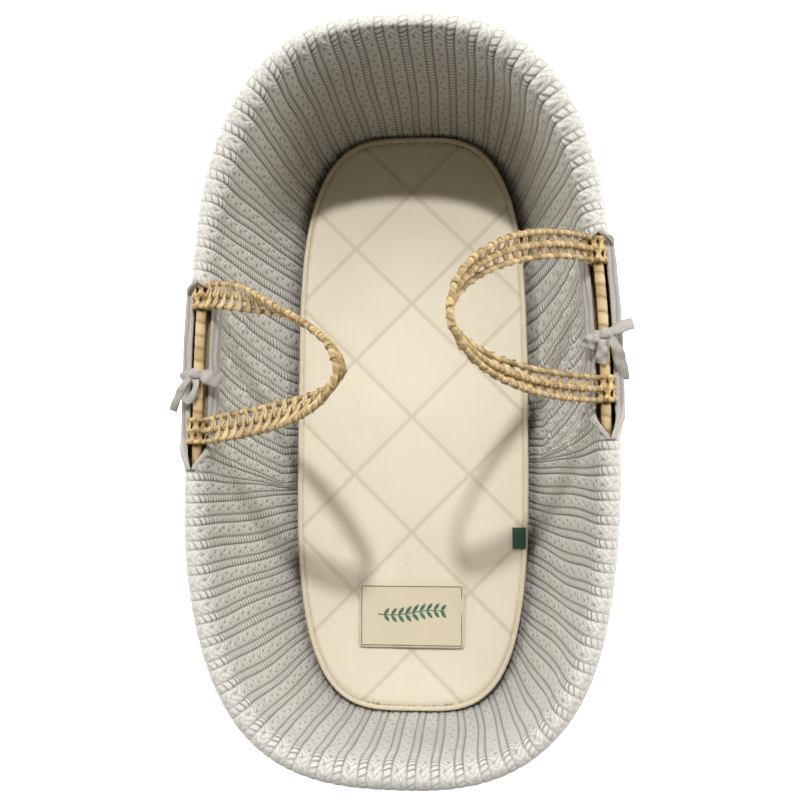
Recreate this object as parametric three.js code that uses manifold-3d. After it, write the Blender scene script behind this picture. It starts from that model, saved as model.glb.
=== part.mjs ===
// Moses basket: a woven palm basket with two lattice handles, a knitted liner and a quilted mattress.
// Millimetres, +Z up. +Y points to the head end, +X to the basket's right-hand side.
// The origin is the centre of the base's underside.

import * as THREE from 'three';
import { mergeVertices } from 'three/addons/utils/BufferGeometryUtils.js';
import Module from 'manifold-3d';

const wasm = await Module();
wasm.setup();

// ---------- Driving dimensions ----------

const gap = 0.3;
const linerStandoff = 3.6;
const ringSteps = 44;

const mattress = { width: 300, length: 750, thickness: 40, squareness: 3.55 };
const mattressPlay = 1.5;
const linerThickness = 2.5;
const wallThickness = 5;
const floorThickness = 6;
const baseClothThickness = 1.5;

// The rim follows the hoop's centre line.
const rimOval = { halfWidth: 222.5, head: 402, foot: 388, headSquareness: 2.7, footSquareness: 3.05 };
const rimHeight = { side: 247, headRise: 50, footRise: 5 };
const rimUprightBand = 16;
const wallBulge = 5;
const shoulderRise = -42;

const hoopRadius = 3.6;
const bindingInnerRadius = 4.4;
const bindingOuterRadius = 5.9;
const rollInnerRadius = 8.8;
const rollOuterRadius = 14;
const rollOutwardShift = 3.5;

// The two bare stretches of rim, and the handle that stands in each.
const sides = [
  {
    name: 'left', sign: -1, slotHead: 140, slotFoot: -74,
    handleCentre: 46, lean: 45.3, footwardLean: 26, pinch: 1.6, twist: -70, twistAt: 0.32,
  },
  {
    name: 'right', sign: 1, slotHead: 186, slotFoot: -42,
    handleCentre: 89.5, lean: 54.2, footwardLean: 18, pinch: 1, twist: 37, twistAt: 0.5,
  },
];

const handle = {
  length: 266, span: 150, cordSpacing: 12, cordRadius: 3.2,
  laceRadius: 1, laceSwing: 1.3, laceTurns: 56, loopInnerRadius: 7.9, loopOuterRadius: 10, loopLength: 28,
};

// The liner's two edges beside the slots are faced with plain jersey strips.
const facing = { top: -11.5, bottom: -24, thickness: 1.7, topOffset: 8.6, bottomOffset: 14 };
const skirt = { top: -7, bottom: -95, thickness: 3.2, topOffset: 12.6, bottomOffset: 5.5 };
const hemRadius = 2.6;
const slotEdgeRise = facing.bottom - 1.5;
const slotEdgeMargin = 40;
const linerTopLean = { outer: 5.4, inner: 8.2 };

const piping = { radius: 2.3, inset: 2.5 };
const label = { width: 134, length: 80, corner: 9, thickness: 1.2, y: -255 };
const tag = { width: 15, length: 27, thickness: 0.8, inset: 21, y: -156 };
const zip = { ringStepsEachWay: 3, tapeHeight: 12, tapeThickness: 0.4, slider: [8, 0.9, 6] };
const coverPanelThickness = 3;
const coverBand = { outer: -0.8, inner: -2.4 };

// ---------- Materials ----------

function matte(colour, roughness = 0.9) {
  return new THREE.MeshStandardMaterial({ color: colour, roughness, metalness: 0 });
}

const palette = {
  palm: 0xc9a873,
  palmGolden: 0xbf9a5c,
  knit: 0xb5b1a2,
  jersey: 0x9d9b93,
  cream: 0xe8dfca,
  creamDark: 0xddd2b8,
  foam: 0xf0e6c4,
  green: 0x2f4a38,
};

// ---------- Outlines ----------

function mix(a, b, share) {
  return a + (b - a) * share;
}

// A point of the quarter of a superellipse between +X and +Y, at a share of the quarter's length.
function quarterPoint(halfWidth, halfLength, squareness, share) {
  const samples = 90;
  const points = [];
  let length = 0;
  for (let i = 0; i <= samples; i += 1) {
    const angle = (Math.PI / 2) * (i / samples);
    const x = halfWidth * Math.abs(Math.cos(angle)) ** (2 / squareness);
    const y = halfLength * Math.sin(angle) ** (2 / squareness);
    if (i > 0) length += Math.hypot(x - points[i - 1].x, y - points[i - 1].y);
    points.push({ x, y, length });
  }
  const target = share * length;
  const next = points.findIndex((point) => point.length >= target - 1e-9);
  if (next <= 0) return [points[0].x, points[0].y];
  const before = points[next - 1];
  const after = points[next];
  const part = (target - before.length) / (after.length - before.length);
  return [mix(before.x, after.x, part), mix(before.y, after.y, part)];
}

// Fraction 0 is on +X, 0.25 at the head, 0.5 on -X and 0.75 at the foot.
function ovalPoint(oval, fraction) {
  const turn = ((fraction % 1) + 1) % 1;
  const quarter = Math.min(3, Math.floor(turn * 4));
  const along = turn * 4 - quarter;
  const share = quarter % 2 === 0 ? along : 1 - along;
  const atHead = quarter < 2;
  const halfLength = atHead ? oval.head : oval.foot;
  const squareness = atHead ? oval.headSquareness : oval.footSquareness;
  const [x, y] = quarterPoint(oval.halfWidth, halfLength, squareness, share);
  const onRight = quarter === 0 || quarter === 3;
  return new THREE.Vector2(onRight ? x : -x, atHead ? y : -y);
}

function ovalNormal(oval, fraction) {
  const step = 0.002;
  const ahead = ovalPoint(oval, fraction + step);
  const behind = ovalPoint(oval, fraction - step);
  const tangent = ahead.sub(behind).normalize();
  return new THREE.Vector2(tangent.y, -tangent.x);
}

// The middle of the wall's thickness where it stands on the floor.
const linerReach = mattressPlay + linerThickness + linerStandoff + wallThickness / 2;
const baseOval = {
  halfWidth: mattress.width / 2 + linerReach,
  head: mattress.length / 2 + linerReach,
  foot: mattress.length / 2 + linerReach,
  headSquareness: mattress.squareness,
  footSquareness: mattress.squareness,
};

const mattressOval = {
  halfWidth: mattress.width / 2,
  head: mattress.length / 2,
  foot: mattress.length / 2,
  headSquareness: mattress.squareness,
  footSquareness: mattress.squareness,
};

function wallOval(level) {
  const bulge = wallBulge * Math.sin(Math.PI * level);
  const between = (key) => mix(baseOval[key], rimOval[key], level);
  return {
    halfWidth: between('halfWidth') + bulge,
    head: between('head') + bulge,
    foot: between('foot') + bulge,
    headSquareness: between('headSquareness'),
    footSquareness: between('footSquareness'),
  };
}

function rimHeightAt(fraction) {
  const { y } = ovalPoint(rimOval, fraction);
  if (y > 0) return rimHeight.side + rimHeight.headRise * (y / rimOval.head) ** 3;
  return rimHeight.side + rimHeight.footRise * (y / rimOval.foot) ** 2;
}

// A point beside the wall: outward from the middle of its thickness, and up or down from the hoop.
function besideWall(fraction, outward, rise) {
  const height = rimHeightAt(fraction);
  const level = Math.min(1, Math.max(0, (height + rise) / (height - rimUprightBand)));
  const oval = wallOval(level);
  const point = ovalPoint(oval, fraction).addScaledVector(ovalNormal(oval, fraction), outward);
  return new THREE.Vector3(point.x, point.y, height + rise);
}

function besideMattress(fraction, outward, height) {
  const point = ovalPoint(mattressOval, fraction).addScaledVector(ovalNormal(mattressOval, fraction), outward);
  return new THREE.Vector3(point.x, point.y, height);
}

function rimFraction(sign, y) {
  let low = sign > 0 ? -0.25 : 0.25;
  let high = sign > 0 ? 0.25 : 0.75;
  for (let i = 0; i < 30; i += 1) {
    const middle = (low + high) / 2;
    const below = ovalPoint(rimOval, middle).y < y;
    if (below === (sign > 0)) low = middle;
    else high = middle;
  }
  return (low + high) / 2;
}

// ---------- Shape helpers ----------

function bareGeometry(geometry) {
  geometry.deleteAttribute('normal');
  geometry.deleteAttribute('uv');
  return mergeVertices(geometry, 1e-4);
}

// A closed ring: sectionAt gives the section's points, anticlockwise in outward and up.
function ringGeometry(sectionAt, place, steps = ringSteps) {
  const sides = sectionAt(0).length;
  const geometry = new THREE.TorusGeometry(2, 1, sides, steps);
  const position = geometry.attributes.position;
  for (let side = 0; side <= sides; side += 1) {
    for (let step = 0; step <= steps; step += 1) {
      const fraction = (step % steps) / steps;
      const [outward, up] = sectionAt(fraction)[side % sides];
      const point = place(fraction, outward, up);
      position.setXYZ(side * (steps + 1) + step, point.x, point.y, point.z);
    }
  }
  return bareGeometry(geometry);
}

// A section swept along an open route: placeAt maps a section point and a share of the route into space.
function sweepGeometry(section, steps, placeAt) {
  const shape = new THREE.Shape(section.map(([x, y]) => new THREE.Vector2(x, y)));
  const geometry = new THREE.ExtrudeGeometry(shape, { depth: 1, steps, bevelEnabled: false });
  const position = geometry.attributes.position;
  for (let i = 0; i < position.count; i += 1) {
    const point = placeAt(position.getX(i), position.getY(i), position.getZ(i));
    position.setXYZ(i, point.x, point.y, point.z);
  }
  return bareGeometry(geometry);
}

// A stretch of the rim from one fraction to a higher one.
function rimRunGeometry(section, from, to, steps) {
  return sweepGeometry(section, steps, (outward, up, share) => besideWall(mix(to, from, share), outward, up));
}

function roundSection(radius, corners, centre = [0, 0]) {
  return Array.from({ length: corners }, (_, i) => {
    const angle = (2 * Math.PI * (i + 0.5)) / corners;
    return [centre[0] + radius * Math.cos(angle), centre[1] + radius * Math.sin(angle)];
  });
}

function arcPoints(radius, fromDegrees, toDegrees, count, centre = [0, 0]) {
  return Array.from({ length: count }, (_, i) => {
    const angle = THREE.MathUtils.degToRad(mix(fromDegrees, toDegrees, i / (count - 1)));
    return [centre[0] + radius * Math.cos(angle), centre[1] + radius * Math.sin(angle)];
  });
}

function plateGeometry(oval, inset, bottom, thickness) {
  const outline = Array.from({ length: ringSteps }, (_, i) => {
    const fraction = i / ringSteps;
    return ovalPoint(oval, fraction).addScaledVector(ovalNormal(oval, fraction), -inset);
  });
  const options = { depth: thickness, bevelEnabled: false };
  const geometry = new THREE.ExtrudeGeometry(new THREE.Shape(outline), options);
  geometry.translate(0, 0, bottom);
  return bareGeometry(geometry);
}

function roundedPatch(width, length, corner, thickness) {
  const shape = new THREE.Shape();
  const x = width / 2 - corner;
  const y = length / 2 - corner;
  shape.absarc(x, y, corner, 0, Math.PI / 2);
  shape.absarc(-x, y, corner, Math.PI / 2, Math.PI);
  shape.absarc(-x, -y, corner, Math.PI, Math.PI * 1.5);
  shape.absarc(x, -y, corner, Math.PI * 1.5, Math.PI * 2);
  const options = { depth: thickness, bevelEnabled: false, curveSegments: 2 };
  return bareGeometry(new THREE.ExtrudeGeometry(shape, options));
}

function toManifold(geometry) {
  return new wasm.Manifold(new wasm.Mesh({
    numProp: 3,
    vertProperties: new Float32Array(geometry.attributes.position.array),
    triVerts: new Uint32Array(geometry.index.array),
  }));
}

function fromManifold(solid) {
  const mesh = solid.getMesh();
  const geometry = new THREE.BufferGeometry();
  geometry.setAttribute('position', new THREE.BufferAttribute(new Float32Array(mesh.vertProperties), 3));
  geometry.setIndex(new THREE.BufferAttribute(new Uint32Array(mesh.triVerts), 1));
  return geometry;
}

const basket = new THREE.Group();

function addMesh(name, geometry, material, parent = basket) {
  const mesh = new THREE.Mesh(geometry, material);
  mesh.name = name;
  parent.add(mesh);
  return mesh;
}

// ---------- Handle seats: where each handle's two loops go round the rim ----------

function handleSeat(side) {
  const [headEnd, footEnd] = [1, -1].map((end) => {
    const y = side.handleCentre + (end * handle.span) / 2;
    return besideWall(rimFraction(side.sign, y), 0, 0);
  });
  const axis = headEnd.clone().sub(footEnd).normalize();
  const centre = headEnd.clone().add(footEnd).multiplyScalar(0.5);
  return { axis, centre, halfSpan: headEnd.distanceTo(footEnd) / 2 };
}

// ---------- Woven basket ----------

function addBasketShell() {
  const floorInset = wallThickness / 2 + gap;
  addMesh('basket_floor', plateGeometry(baseOval, floorInset, 0, floorThickness), matte(palette.palm));

  const half = wallThickness / 2;
  const top = -hoopRadius - gap;
  const wallGeometry = ringGeometry((fraction) => {
    const base = -rimHeightAt(fraction);
    const levels = [base, base * 0.66, base * 0.33, shoulderRise, -rimUprightBand, top];
    const outer = levels.map((rise) => [half, rise]);
    const inner = levels.map((rise) => [-half, rise]).reverse();
    return [...outer, ...inner];
  }, besideWall);
  let wall = toManifold(wallGeometry);
  for (const side of sides) {
    const seat = handleSeat(side);
    for (const end of [1, -1]) {
      wall = wall.subtract(toManifold(loopNotch(seat, end)));
    }
  }
  addMesh('basket_wall', fromManifold(wall), matte(palette.palm));
}

// The clear space that a handle's loop needs where it passes through the top of the wall.
function loopNotch(seat, end) {
  const clearance = 1.5;
  const reach = handle.loopOuterRadius + clearance;
  const box = new THREE.BoxGeometry(4 * reach, handle.loopLength + 2 * clearance, 2 * reach);
  const centre = seat.centre.clone().addScaledVector(seat.axis, end * seat.halfSpan);
  box.translate(centre.x, centre.y, centre.z);
  return bareGeometry(box);
}

function addRim() {
  addMesh('rim_rod', ringGeometry(() => roundSection(hoopRadius, 6), besideWall), matte(palette.palmGolden));
  const lip = wallThickness / 2 + gap;
  const outerLip = THREE.MathUtils.radToDeg(Math.asin(lip / bindingOuterRadius));
  const innerLip = THREE.MathUtils.radToDeg(Math.asin(lip / bindingInnerRadius));
  const section = [
    ...arcPoints(bindingOuterRadius, outerLip - 90, 270 - outerLip, 8),
    ...arcPoints(bindingInnerRadius, 270 - innerLip, innerLip - 90, 6),
  ];
  addMesh('rim_binding', ringGeometry(() => section, besideWall), matte(palette.palmGolden, 0.7));
}

// ---------- Knitted liner ----------

// 0 where the liner rolls over the rim, 1 in the bare slots.
function slotShare(fraction) {
  const { x, y } = ovalPoint(rimOval, fraction);
  const side = sides[x < 0 ? 0 : 1];
  return y < side.slotHead + slotEdgeMargin && y > side.slotFoot - slotEdgeMargin ? 1 : 0;
}

function addLinerWall() {
  const bottomZ = floorThickness + gap;
  const outer = -wallThickness / 2 - linerStandoff;
  const inner = outer - linerThickness;
  const geometry = ringGeometry((fraction) => {
    const base = -rimHeightAt(fraction);
    const top = mix(skirt.top, slotEdgeRise, slotShare(fraction));
    return [
      [outer, base + bottomZ], [outer, base * 0.66], [outer, base * 0.33], [outer, shoulderRise],
      [outer - linerTopLean.outer, top], [outer - linerTopLean.inner, top],
      [inner, shoulderRise], [inner, base * 0.33], [inner, base * 0.66], [inner, base + bottomZ],
    ];
  }, besideWall);
  addMesh('liner_wall', geometry, matte(palette.knit));

  const clothInset = linerReach - mattressPlay + 2 * gap;
  const cloth = plateGeometry(baseOval, clothInset, floorThickness + gap, baseClothThickness);
  addMesh('liner_base', cloth, matte(palette.creamDark));
}

function addLinerRolls() {
  const section = [
    ...arcPoints(rollOuterRadius, -22, 202, 10, [rollOutwardShift, 0]),
    ...arcPoints(rollInnerRadius, 202, -22, 7),
  ];
  const [left, right] = sides;
  const steps = Math.round(ringSteps * 0.42);
  const head = [rimFraction(1, right.slotHead), rimFraction(-1, left.slotHead)];
  const foot = [rimFraction(-1, left.slotFoot), rimFraction(1, right.slotFoot) + 1];
  addMesh('liner_rim_head', rimRunGeometry(section, head[0], head[1], steps), matte(palette.knit));
  addMesh('liner_rim_foot', rimRunGeometry(section, foot[0], foot[1], steps), matte(palette.knit));
}

function addSkirt() {
  const geometry = ringGeometry((fraction) => {
    const top = mix(skirt.top, slotEdgeRise, slotShare(fraction));
    const middle = (top + skirt.bottom) / 2;
    return [
      [skirt.bottomOffset + skirt.thickness, skirt.bottom],
      [skirt.topOffset + skirt.thickness, middle],
      [skirt.topOffset + skirt.thickness, top],
      [skirt.topOffset, top],
      [skirt.topOffset, middle],
      [skirt.bottomOffset, skirt.bottom],
    ];
  }, besideWall);
  addMesh('liner_skirt', geometry, matte(palette.knit));

  const hemCentre = [skirt.bottomOffset + 1, skirt.bottom - hemRadius - gap];
  addMesh('hem_elastic', ringGeometry(() => roundSection(hemRadius, 5, hemCentre), besideWall), matte(palette.knit));
}

function addFacings(side) {
  const steps = 7;
  const from = rimFraction(side.sign, side.sign > 0 ? side.slotFoot : side.slotHead);
  const to = rimFraction(side.sign, side.sign > 0 ? side.slotHead : side.slotFoot);
  const outer = [
    [facing.bottomOffset + facing.thickness, facing.bottom],
    [facing.topOffset + facing.thickness, facing.top],
    [facing.topOffset, facing.top],
    [facing.bottomOffset, facing.bottom],
  ];
  const inner = outer.map(([outward, up]) => [-outward, up]).reverse();
  addMesh(`${side.name}_outer_facing`, rimRunGeometry(outer, from, to, steps), matte(palette.jersey));
  addMesh(`${side.name}_inner_facing`, rimRunGeometry(inner, from, to, steps), matte(palette.jersey));
}

// ---------- Bows ----------

const bow = {
  bandWidth: 9, bandInner: 6.5, bandOuter: 7.8, knotRise: 13.6, knotRadii: [6.5, 6, 5], stripThickness: 1.4,
};

// Each route runs outward, along the rim towards the head, and up, from the middle of the slot.
const bowRoutes = {
  left: {
    bow_loop_long: { width: 9, points: [[-7.5, -1, 14], [-15, -2, 15], [-24, -4, 12], [-32, -5, 8]] },
    bow_loop_short: { width: 9, points: [[-1, -7.5, 13], [2, -14, 14], [7, -22, 12], [13, -31, 7]] },
    bow_tail_long: { width: 8, points: [[8, 1, 13], [17, -4, 12], [26, -14, 4], [31, -24, -8]] },
    bow_tail_short: { width: 8, points: [[-4, 7.5, 13], [-9, 13, 12], [-15, 19, 7], [-19, 24, 2]] },
  },
  right: {
    bow_loop_long: { width: 9, points: [[-7.5, -1, 14], [-14, -4, 14], [-20, -10, 11], [-24, -17, 7]] },
    bow_loop_short: { width: 9, points: [[-1, -7.5, 13], [-3, -13, 13], [-5, -20, 10], [-6, -28, 6]] },
    bow_tail_long: { width: 8, points: [[8, -2, 13], [14, -9, 10], [19, -19, 2], [21, -30, -12]] },
    bow_tail_short: { width: 8, points: [[7.5, 3, 14], [15, 7, 14], [24, 11, 10], [32, 14, 4]] },
  },
};

function addBow(side) {
  const fraction = rimFraction(side.sign, (side.slotHead + side.slotFoot) / 2);
  const origin = besideWall(fraction, 0, 0);
  const outward = besideWall(fraction, 1, 0).sub(origin);
  const up = new THREE.Vector3(0, 0, 1);
  const headward = new THREE.Vector3().crossVectors(up, outward).multiplyScalar(side.sign);
  const toSpace = (out, along, rise) => origin.clone()
    .addScaledVector(outward, out).addScaledVector(headward, along).addScaledVector(up, rise);

  const bandSection = [
    [-bow.bandWidth / 2, bow.bandInner], [bow.bandWidth / 2, bow.bandInner],
    [bow.bandWidth / 2, bow.bandOuter], [-bow.bandWidth / 2, bow.bandOuter],
  ];
  const band = sweepGeometry(bandSection, 8, (along, radius, share) => {
    const angle = THREE.MathUtils.degToRad(mix(-30, 210, side.sign > 0 ? 1 - share : share));
    return toSpace(radius * Math.cos(angle), along, radius * Math.sin(angle));
  });
  addMesh(`${side.name}_bow_band`, band, matte(palette.jersey));

  const knot = new THREE.SphereGeometry(1, 8, 6);
  knot.scale(...bow.knotRadii);
  const knotCentre = toSpace(0, 0, bow.knotRise);
  knot.translate(knotCentre.x, knotCentre.y, knotCentre.z);
  addMesh(`${side.name}_bow_knot`, bareGeometry(knot), matte(palette.jersey));

  for (const [name, strip] of Object.entries(bowRoutes[side.name])) {
    const route = new THREE.CatmullRomCurve3(strip.points.map((point) => toSpace(...point)));
    addMesh(`${side.name}_${name}`, stripGeometry(route, strip.width, bow.stripThickness), matte(palette.jersey));
  }
}

// A flat strip along a route, its flat side up as far as the route lets it.
function stripGeometry(route, width, thickness) {
  const section = [
    [-width / 2, -thickness / 2], [width / 2, -thickness / 2],
    [width / 2, thickness / 2], [-width / 2, thickness / 2],
  ];
  return sweepGeometry(section, 6, (across, over, share) => {
    const along = route.getTangent(share);
    const acrossAxis = new THREE.Vector3().crossVectors(new THREE.Vector3(0, 0, 1), along).normalize();
    const overAxis = new THREE.Vector3().crossVectors(along, acrossAxis);
    return route.getPoint(share).addScaledVector(acrossAxis, across).addScaledVector(overAxis, over);
  });
}

// ---------- Handles ----------

// The middle of the strap in the handle's own frame: x along the hinge line, y up the handle.
function strapRoute(halfSpan, side) {
  const start = handle.loopOuterRadius + 4 * gap;
  const count = 16;
  const points = Array.from({ length: count + 1 }, (_, i) => {
    const angle = Math.PI * (i / count);
    const climb = Math.sin(angle) ** side.pinch;
    const lean = -side.footwardLean * climb ** 1.6;
    return new THREE.Vector3(halfSpan * Math.cos(angle) + lean, mix(start, handle.length, climb), 0);
  });
  points[0].x = halfSpan;
  points[count].x = -halfSpan;
  return new THREE.CatmullRomCurve3(points);
}

// The strap's width lies along the rim at the loops and turns towards edge-on higher up.
function strapFrame(route, side, share) {
  const along = route.getTangentAt(share);
  const face = new THREE.Vector3(0, 0, 1);
  const outer = new THREE.Vector3().crossVectors(along, face).normalize();
  const way = share < side.twistAt ? share / side.twistAt : (1 - share) / (1 - side.twistAt);
  const twist = THREE.MathUtils.degToRad(side.twist * THREE.MathUtils.smoothstep(way, 0.15, 1));
  const width = outer.multiplyScalar(Math.cos(twist)).addScaledVector(face, Math.sin(twist));
  const thickness = new THREE.Vector3().crossVectors(along, width);
  return { centre: route.getPointAt(share), width, thickness };
}

function addHandle(side) {
  const seat = handleSeat(side);
  const up = new THREE.Vector3(0, 0, 1).addScaledVector(seat.axis, -seat.axis.z).normalize();
  const inward = new THREE.Vector3().crossVectors(up, seat.axis).multiplyScalar(side.sign);
  const lean = THREE.MathUtils.degToRad(side.lean);
  const rising = inward.clone().multiplyScalar(Math.cos(lean)).addScaledVector(up, Math.sin(lean));
  const normal = new THREE.Vector3().crossVectors(seat.axis, rising);
  const group = new THREE.Group();
  group.setRotationFromMatrix(new THREE.Matrix4().makeBasis(seat.axis, rising, normal));
  group.position.copy(seat.centre);
  basket.add(group);

  const route = strapRoute(seat.halfSpan, side);
  const place = (across, over, share) => {
    const frame = strapFrame(route, side, share);
    return frame.centre.addScaledVector(frame.width, across).addScaledVector(frame.thickness, over);
  };

  const cords = { outer_cord: 1, middle_cord: 0, inner_cord: -1 };
  for (const [name, row] of Object.entries(cords)) {
    const section = roundSection(handle.cordRadius, 6, [row * handle.cordSpacing, 0]);
    addMesh(`${side.name}_${name}`, sweepGeometry(section, 36, place), matte(palette.palm), group);
  }

  const laces = { outer_lace: 0.5, inner_lace: -0.5 };
  for (const [name, row] of Object.entries(laces)) {
    const section = roundSection(handle.laceRadius, 4);
    const lace = sweepGeometry(section, handle.laceTurns, (across, over, share) => {
      const turn = Math.round(share * handle.laceTurns);
      const swing = turn % 2 === 0 ? handle.laceSwing : -handle.laceSwing;
      return place(row * handle.cordSpacing + swing + across, over, share);
    });
    addMesh(`${side.name}_${name}`, lace, matte(palette.palmGolden), group);
  }

  for (const [name, end] of [['head_loop', 1], ['foot_loop', -1]]) {
    const half = handle.loopLength / 2;
    const profile = [
      [handle.loopInnerRadius, -half], [handle.loopOuterRadius, -half],
      [handle.loopOuterRadius, half], [handle.loopInnerRadius, half], [handle.loopInnerRadius, -half],
    ];
    const geometry = new THREE.LatheGeometry(profile.map(([x, y]) => new THREE.Vector2(x, y)), 14);
    const loop = addMesh(`${side.name}_${name}`, bareGeometry(geometry), matte(palette.palm), group);
    loop.rotation.z = -Math.PI / 2;
    loop.position.x = end * seat.halfSpan;
  }
}

// ---------- Mattress ----------

function addMattress() {
  const bottom = floorThickness + baseClothThickness + 2 * gap;
  const top = bottom + mattress.thickness;
  const panelInset = piping.inset + piping.radius + gap;

  const coreBottom = bottom + coverPanelThickness + gap;
  const coreThickness = mattress.thickness - 2 * (coverPanelThickness + gap);
  addMesh('mattress_core', plateGeometry(mattressOval, panelInset, coreBottom, coreThickness), matte(palette.foam));
  const topPanel = plateGeometry(mattressOval, panelInset, top - coverPanelThickness, coverPanelThickness);
  addMesh('cover_top', topPanel, matte(palette.cream));
  const bottomPanel = plateGeometry(mattressOval, panelInset, bottom, coverPanelThickness);
  addMesh('cover_bottom', bottomPanel, matte(palette.cream));

  const bandBottom = bottom + panelInset + gap;
  const bandTop = top - panelInset - gap;
  const bandSection = [
    [coverBand.outer, bandBottom], [coverBand.outer, bandTop],
    [coverBand.inner, bandTop], [coverBand.inner, bandBottom],
  ];
  addMesh('cover_band', ringGeometry(() => bandSection, besideMattress), matte(palette.cream));

  for (const [name, height] of [['piping_top', top - piping.inset], ['piping_bottom', bottom + piping.inset]]) {
    const section = roundSection(piping.radius, 6, [-piping.inset, height]);
    addMesh(name, ringGeometry(() => section, besideMattress), matte(palette.creamDark));
  }

  addZip((bottom + top) / 2);

  const patch = roundedPatch(label.width, label.length, label.corner, label.thickness);
  addMesh('label_patch', patch, matte(palette.creamDark)).position.set(0, label.y, top + gap);

  const tab = addMesh('side_tag', bareGeometry(new THREE.BoxGeometry(tag.width, tag.length, tag.thickness)),
    matte(palette.green));
  tab.position.set(mattress.width / 2 - tag.inset + tag.width / 2, tag.y, top + gap + tag.thickness / 2);
}

function addZip(middle) {
  const footFraction = 0.75;
  const half = zip.ringStepsEachWay / ringSteps;
  const section = [
    [0, middle - zip.tapeHeight / 2], [0, middle + zip.tapeHeight / 2],
    [-zip.tapeThickness, middle + zip.tapeHeight / 2], [-zip.tapeThickness, middle - zip.tapeHeight / 2],
  ];
  const tape = sweepGeometry(section, 2 * zip.ringStepsEachWay, (outward, height, share) => (
    besideMattress(footFraction + mix(half, -half, share), outward, height)));
  addMesh('zip_tape', tape, matte(palette.creamDark));

  const slider = addMesh('zip_slider', bareGeometry(new THREE.BoxGeometry(...zip.slider)), matte(palette.creamDark));
  slider.position.copy(besideMattress(footFraction, gap + zip.slider[1] / 2, middle));
}

// ---------- Assembly ----------

addBasketShell();
addRim();
addLinerWall();
addLinerRolls();
addSkirt();
for (const side of sides) {
  addFacings(side);
  addBow(side);
  addHandle(side);
}
addMattress();

export default basket;
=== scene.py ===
"""Looks for the moses basket: knitted liner, woven palm, lattice handles, jersey bows, quilted mattress.

Shapes are worked out in millimetres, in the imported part's own frame, and become metres when a mesh is made.
Towards the head is +Y, and -X is the basket's left-hand side.
"""

import math

import bmesh
import bpy
import numpy as np
from mathutils import Matrix, Vector


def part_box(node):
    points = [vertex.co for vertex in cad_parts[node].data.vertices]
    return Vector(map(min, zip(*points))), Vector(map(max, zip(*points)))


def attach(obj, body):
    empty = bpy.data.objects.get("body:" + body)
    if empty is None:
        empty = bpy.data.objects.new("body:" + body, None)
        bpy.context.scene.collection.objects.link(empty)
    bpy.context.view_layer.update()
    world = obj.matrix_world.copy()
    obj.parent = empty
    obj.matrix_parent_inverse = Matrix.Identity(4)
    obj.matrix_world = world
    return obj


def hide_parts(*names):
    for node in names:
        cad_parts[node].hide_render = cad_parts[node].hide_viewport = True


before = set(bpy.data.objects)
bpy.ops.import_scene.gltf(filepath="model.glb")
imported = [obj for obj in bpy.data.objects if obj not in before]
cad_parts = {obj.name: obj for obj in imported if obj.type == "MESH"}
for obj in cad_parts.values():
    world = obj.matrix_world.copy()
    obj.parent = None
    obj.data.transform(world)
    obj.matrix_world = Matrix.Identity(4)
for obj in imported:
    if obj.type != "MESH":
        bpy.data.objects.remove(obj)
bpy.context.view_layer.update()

MM = 0.001
TAU = 2 * math.pi
random = np.random.default_rng(7)

# ---------- Sizes shared with the CAD part, in millimetres ----------

MATTRESS = {"half_width": 150, "head": 375, "foot": 375, "head_squareness": 3.55, "foot_squareness": 3.55}
BASE = {"half_width": 160.1, "head": 385.1, "foot": 385.1, "head_squareness": 3.55, "foot_squareness": 3.55}
RIM = {"half_width": 222.5, "head": 402, "foot": 388, "head_squareness": 2.7, "foot_squareness": 3.05}
RIM_SIDE_HEIGHT = 247
RIM_HEAD_RISE = 50
RIM_FOOT_RISE = 5
RIM_UPRIGHT_BAND = 16
WALL_BULGE = 5
FLOOR_THICKNESS = 6
ROD_RADIUS = 5.9

SIDES = {
    "left": {
        "sign": -1, "slot_head": 140, "slot_foot": -74,
        "handle": 46, "lean": 45.3, "footward_lean": 26, "pinch": 1.6, "twist": -70, "twist_at": 0.32,
        "slant": 46, "slant_fade": 78, "edging": 0.21,
    },
    "right": {
        "sign": 1, "slot_head": 186, "slot_foot": -42,
        "handle": 89.5, "lean": 54.2, "footward_lean": 18, "pinch": 1.0, "twist": 37, "twist_at": 0.5,
        "slant": 66, "slant_fade": 105, "edging": 0.225,
    },
}
HANDLE_LENGTH = 266
HANDLE_SPAN = 150
CORD_SPACING = 12
STRAP_START = 11.2

MATTRESS_BOTTOM = 8.1
MATTRESS_TOP = 48.1
MATTRESS_ROUND = 1960

# ---------- Sizes of the knit, in millimetres ----------

KNIT_REPEAT = 25
ROPE_WIDTH = 9
PLAIT_CENTRE = 17
RUNG = 6.8
RUNG_SLANT = 0.28
PLAIT_CROSSING = 14
STROKE = 7
STROKE_SLANT = 1.1

# ---------- Small helpers ----------


def mix(a, b, share):
    return a + (b - a) * share


def smoothstep(value, low, high):
    share = np.clip((value - low) / (high - low), 0, 1)
    return share * share * (3 - 2 * share)


def unit(vectors):
    return vectors / np.maximum(np.linalg.norm(vectors, axis=-1, keepdims=True), 1e-9)


def distance_along(points):
    """How far each point of a line is from its first, along the line."""
    return np.concatenate([[0], np.cumsum(np.linalg.norm(np.diff(points, axis=0), axis=1))])


def whole_turn(count):
    """Even angles once round, without the repeated last one."""
    return np.linspace(0, TAU, count, endpoint=False)


def level_surface(flat, height):
    """Points from their x and y and a height for each."""
    return np.concatenate([flat, height[..., None]], axis=-1)


def even_directions(direction, like):
    """One direction for each point of a line."""
    return np.broadcast_to(direction, np.shape(like))


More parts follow.
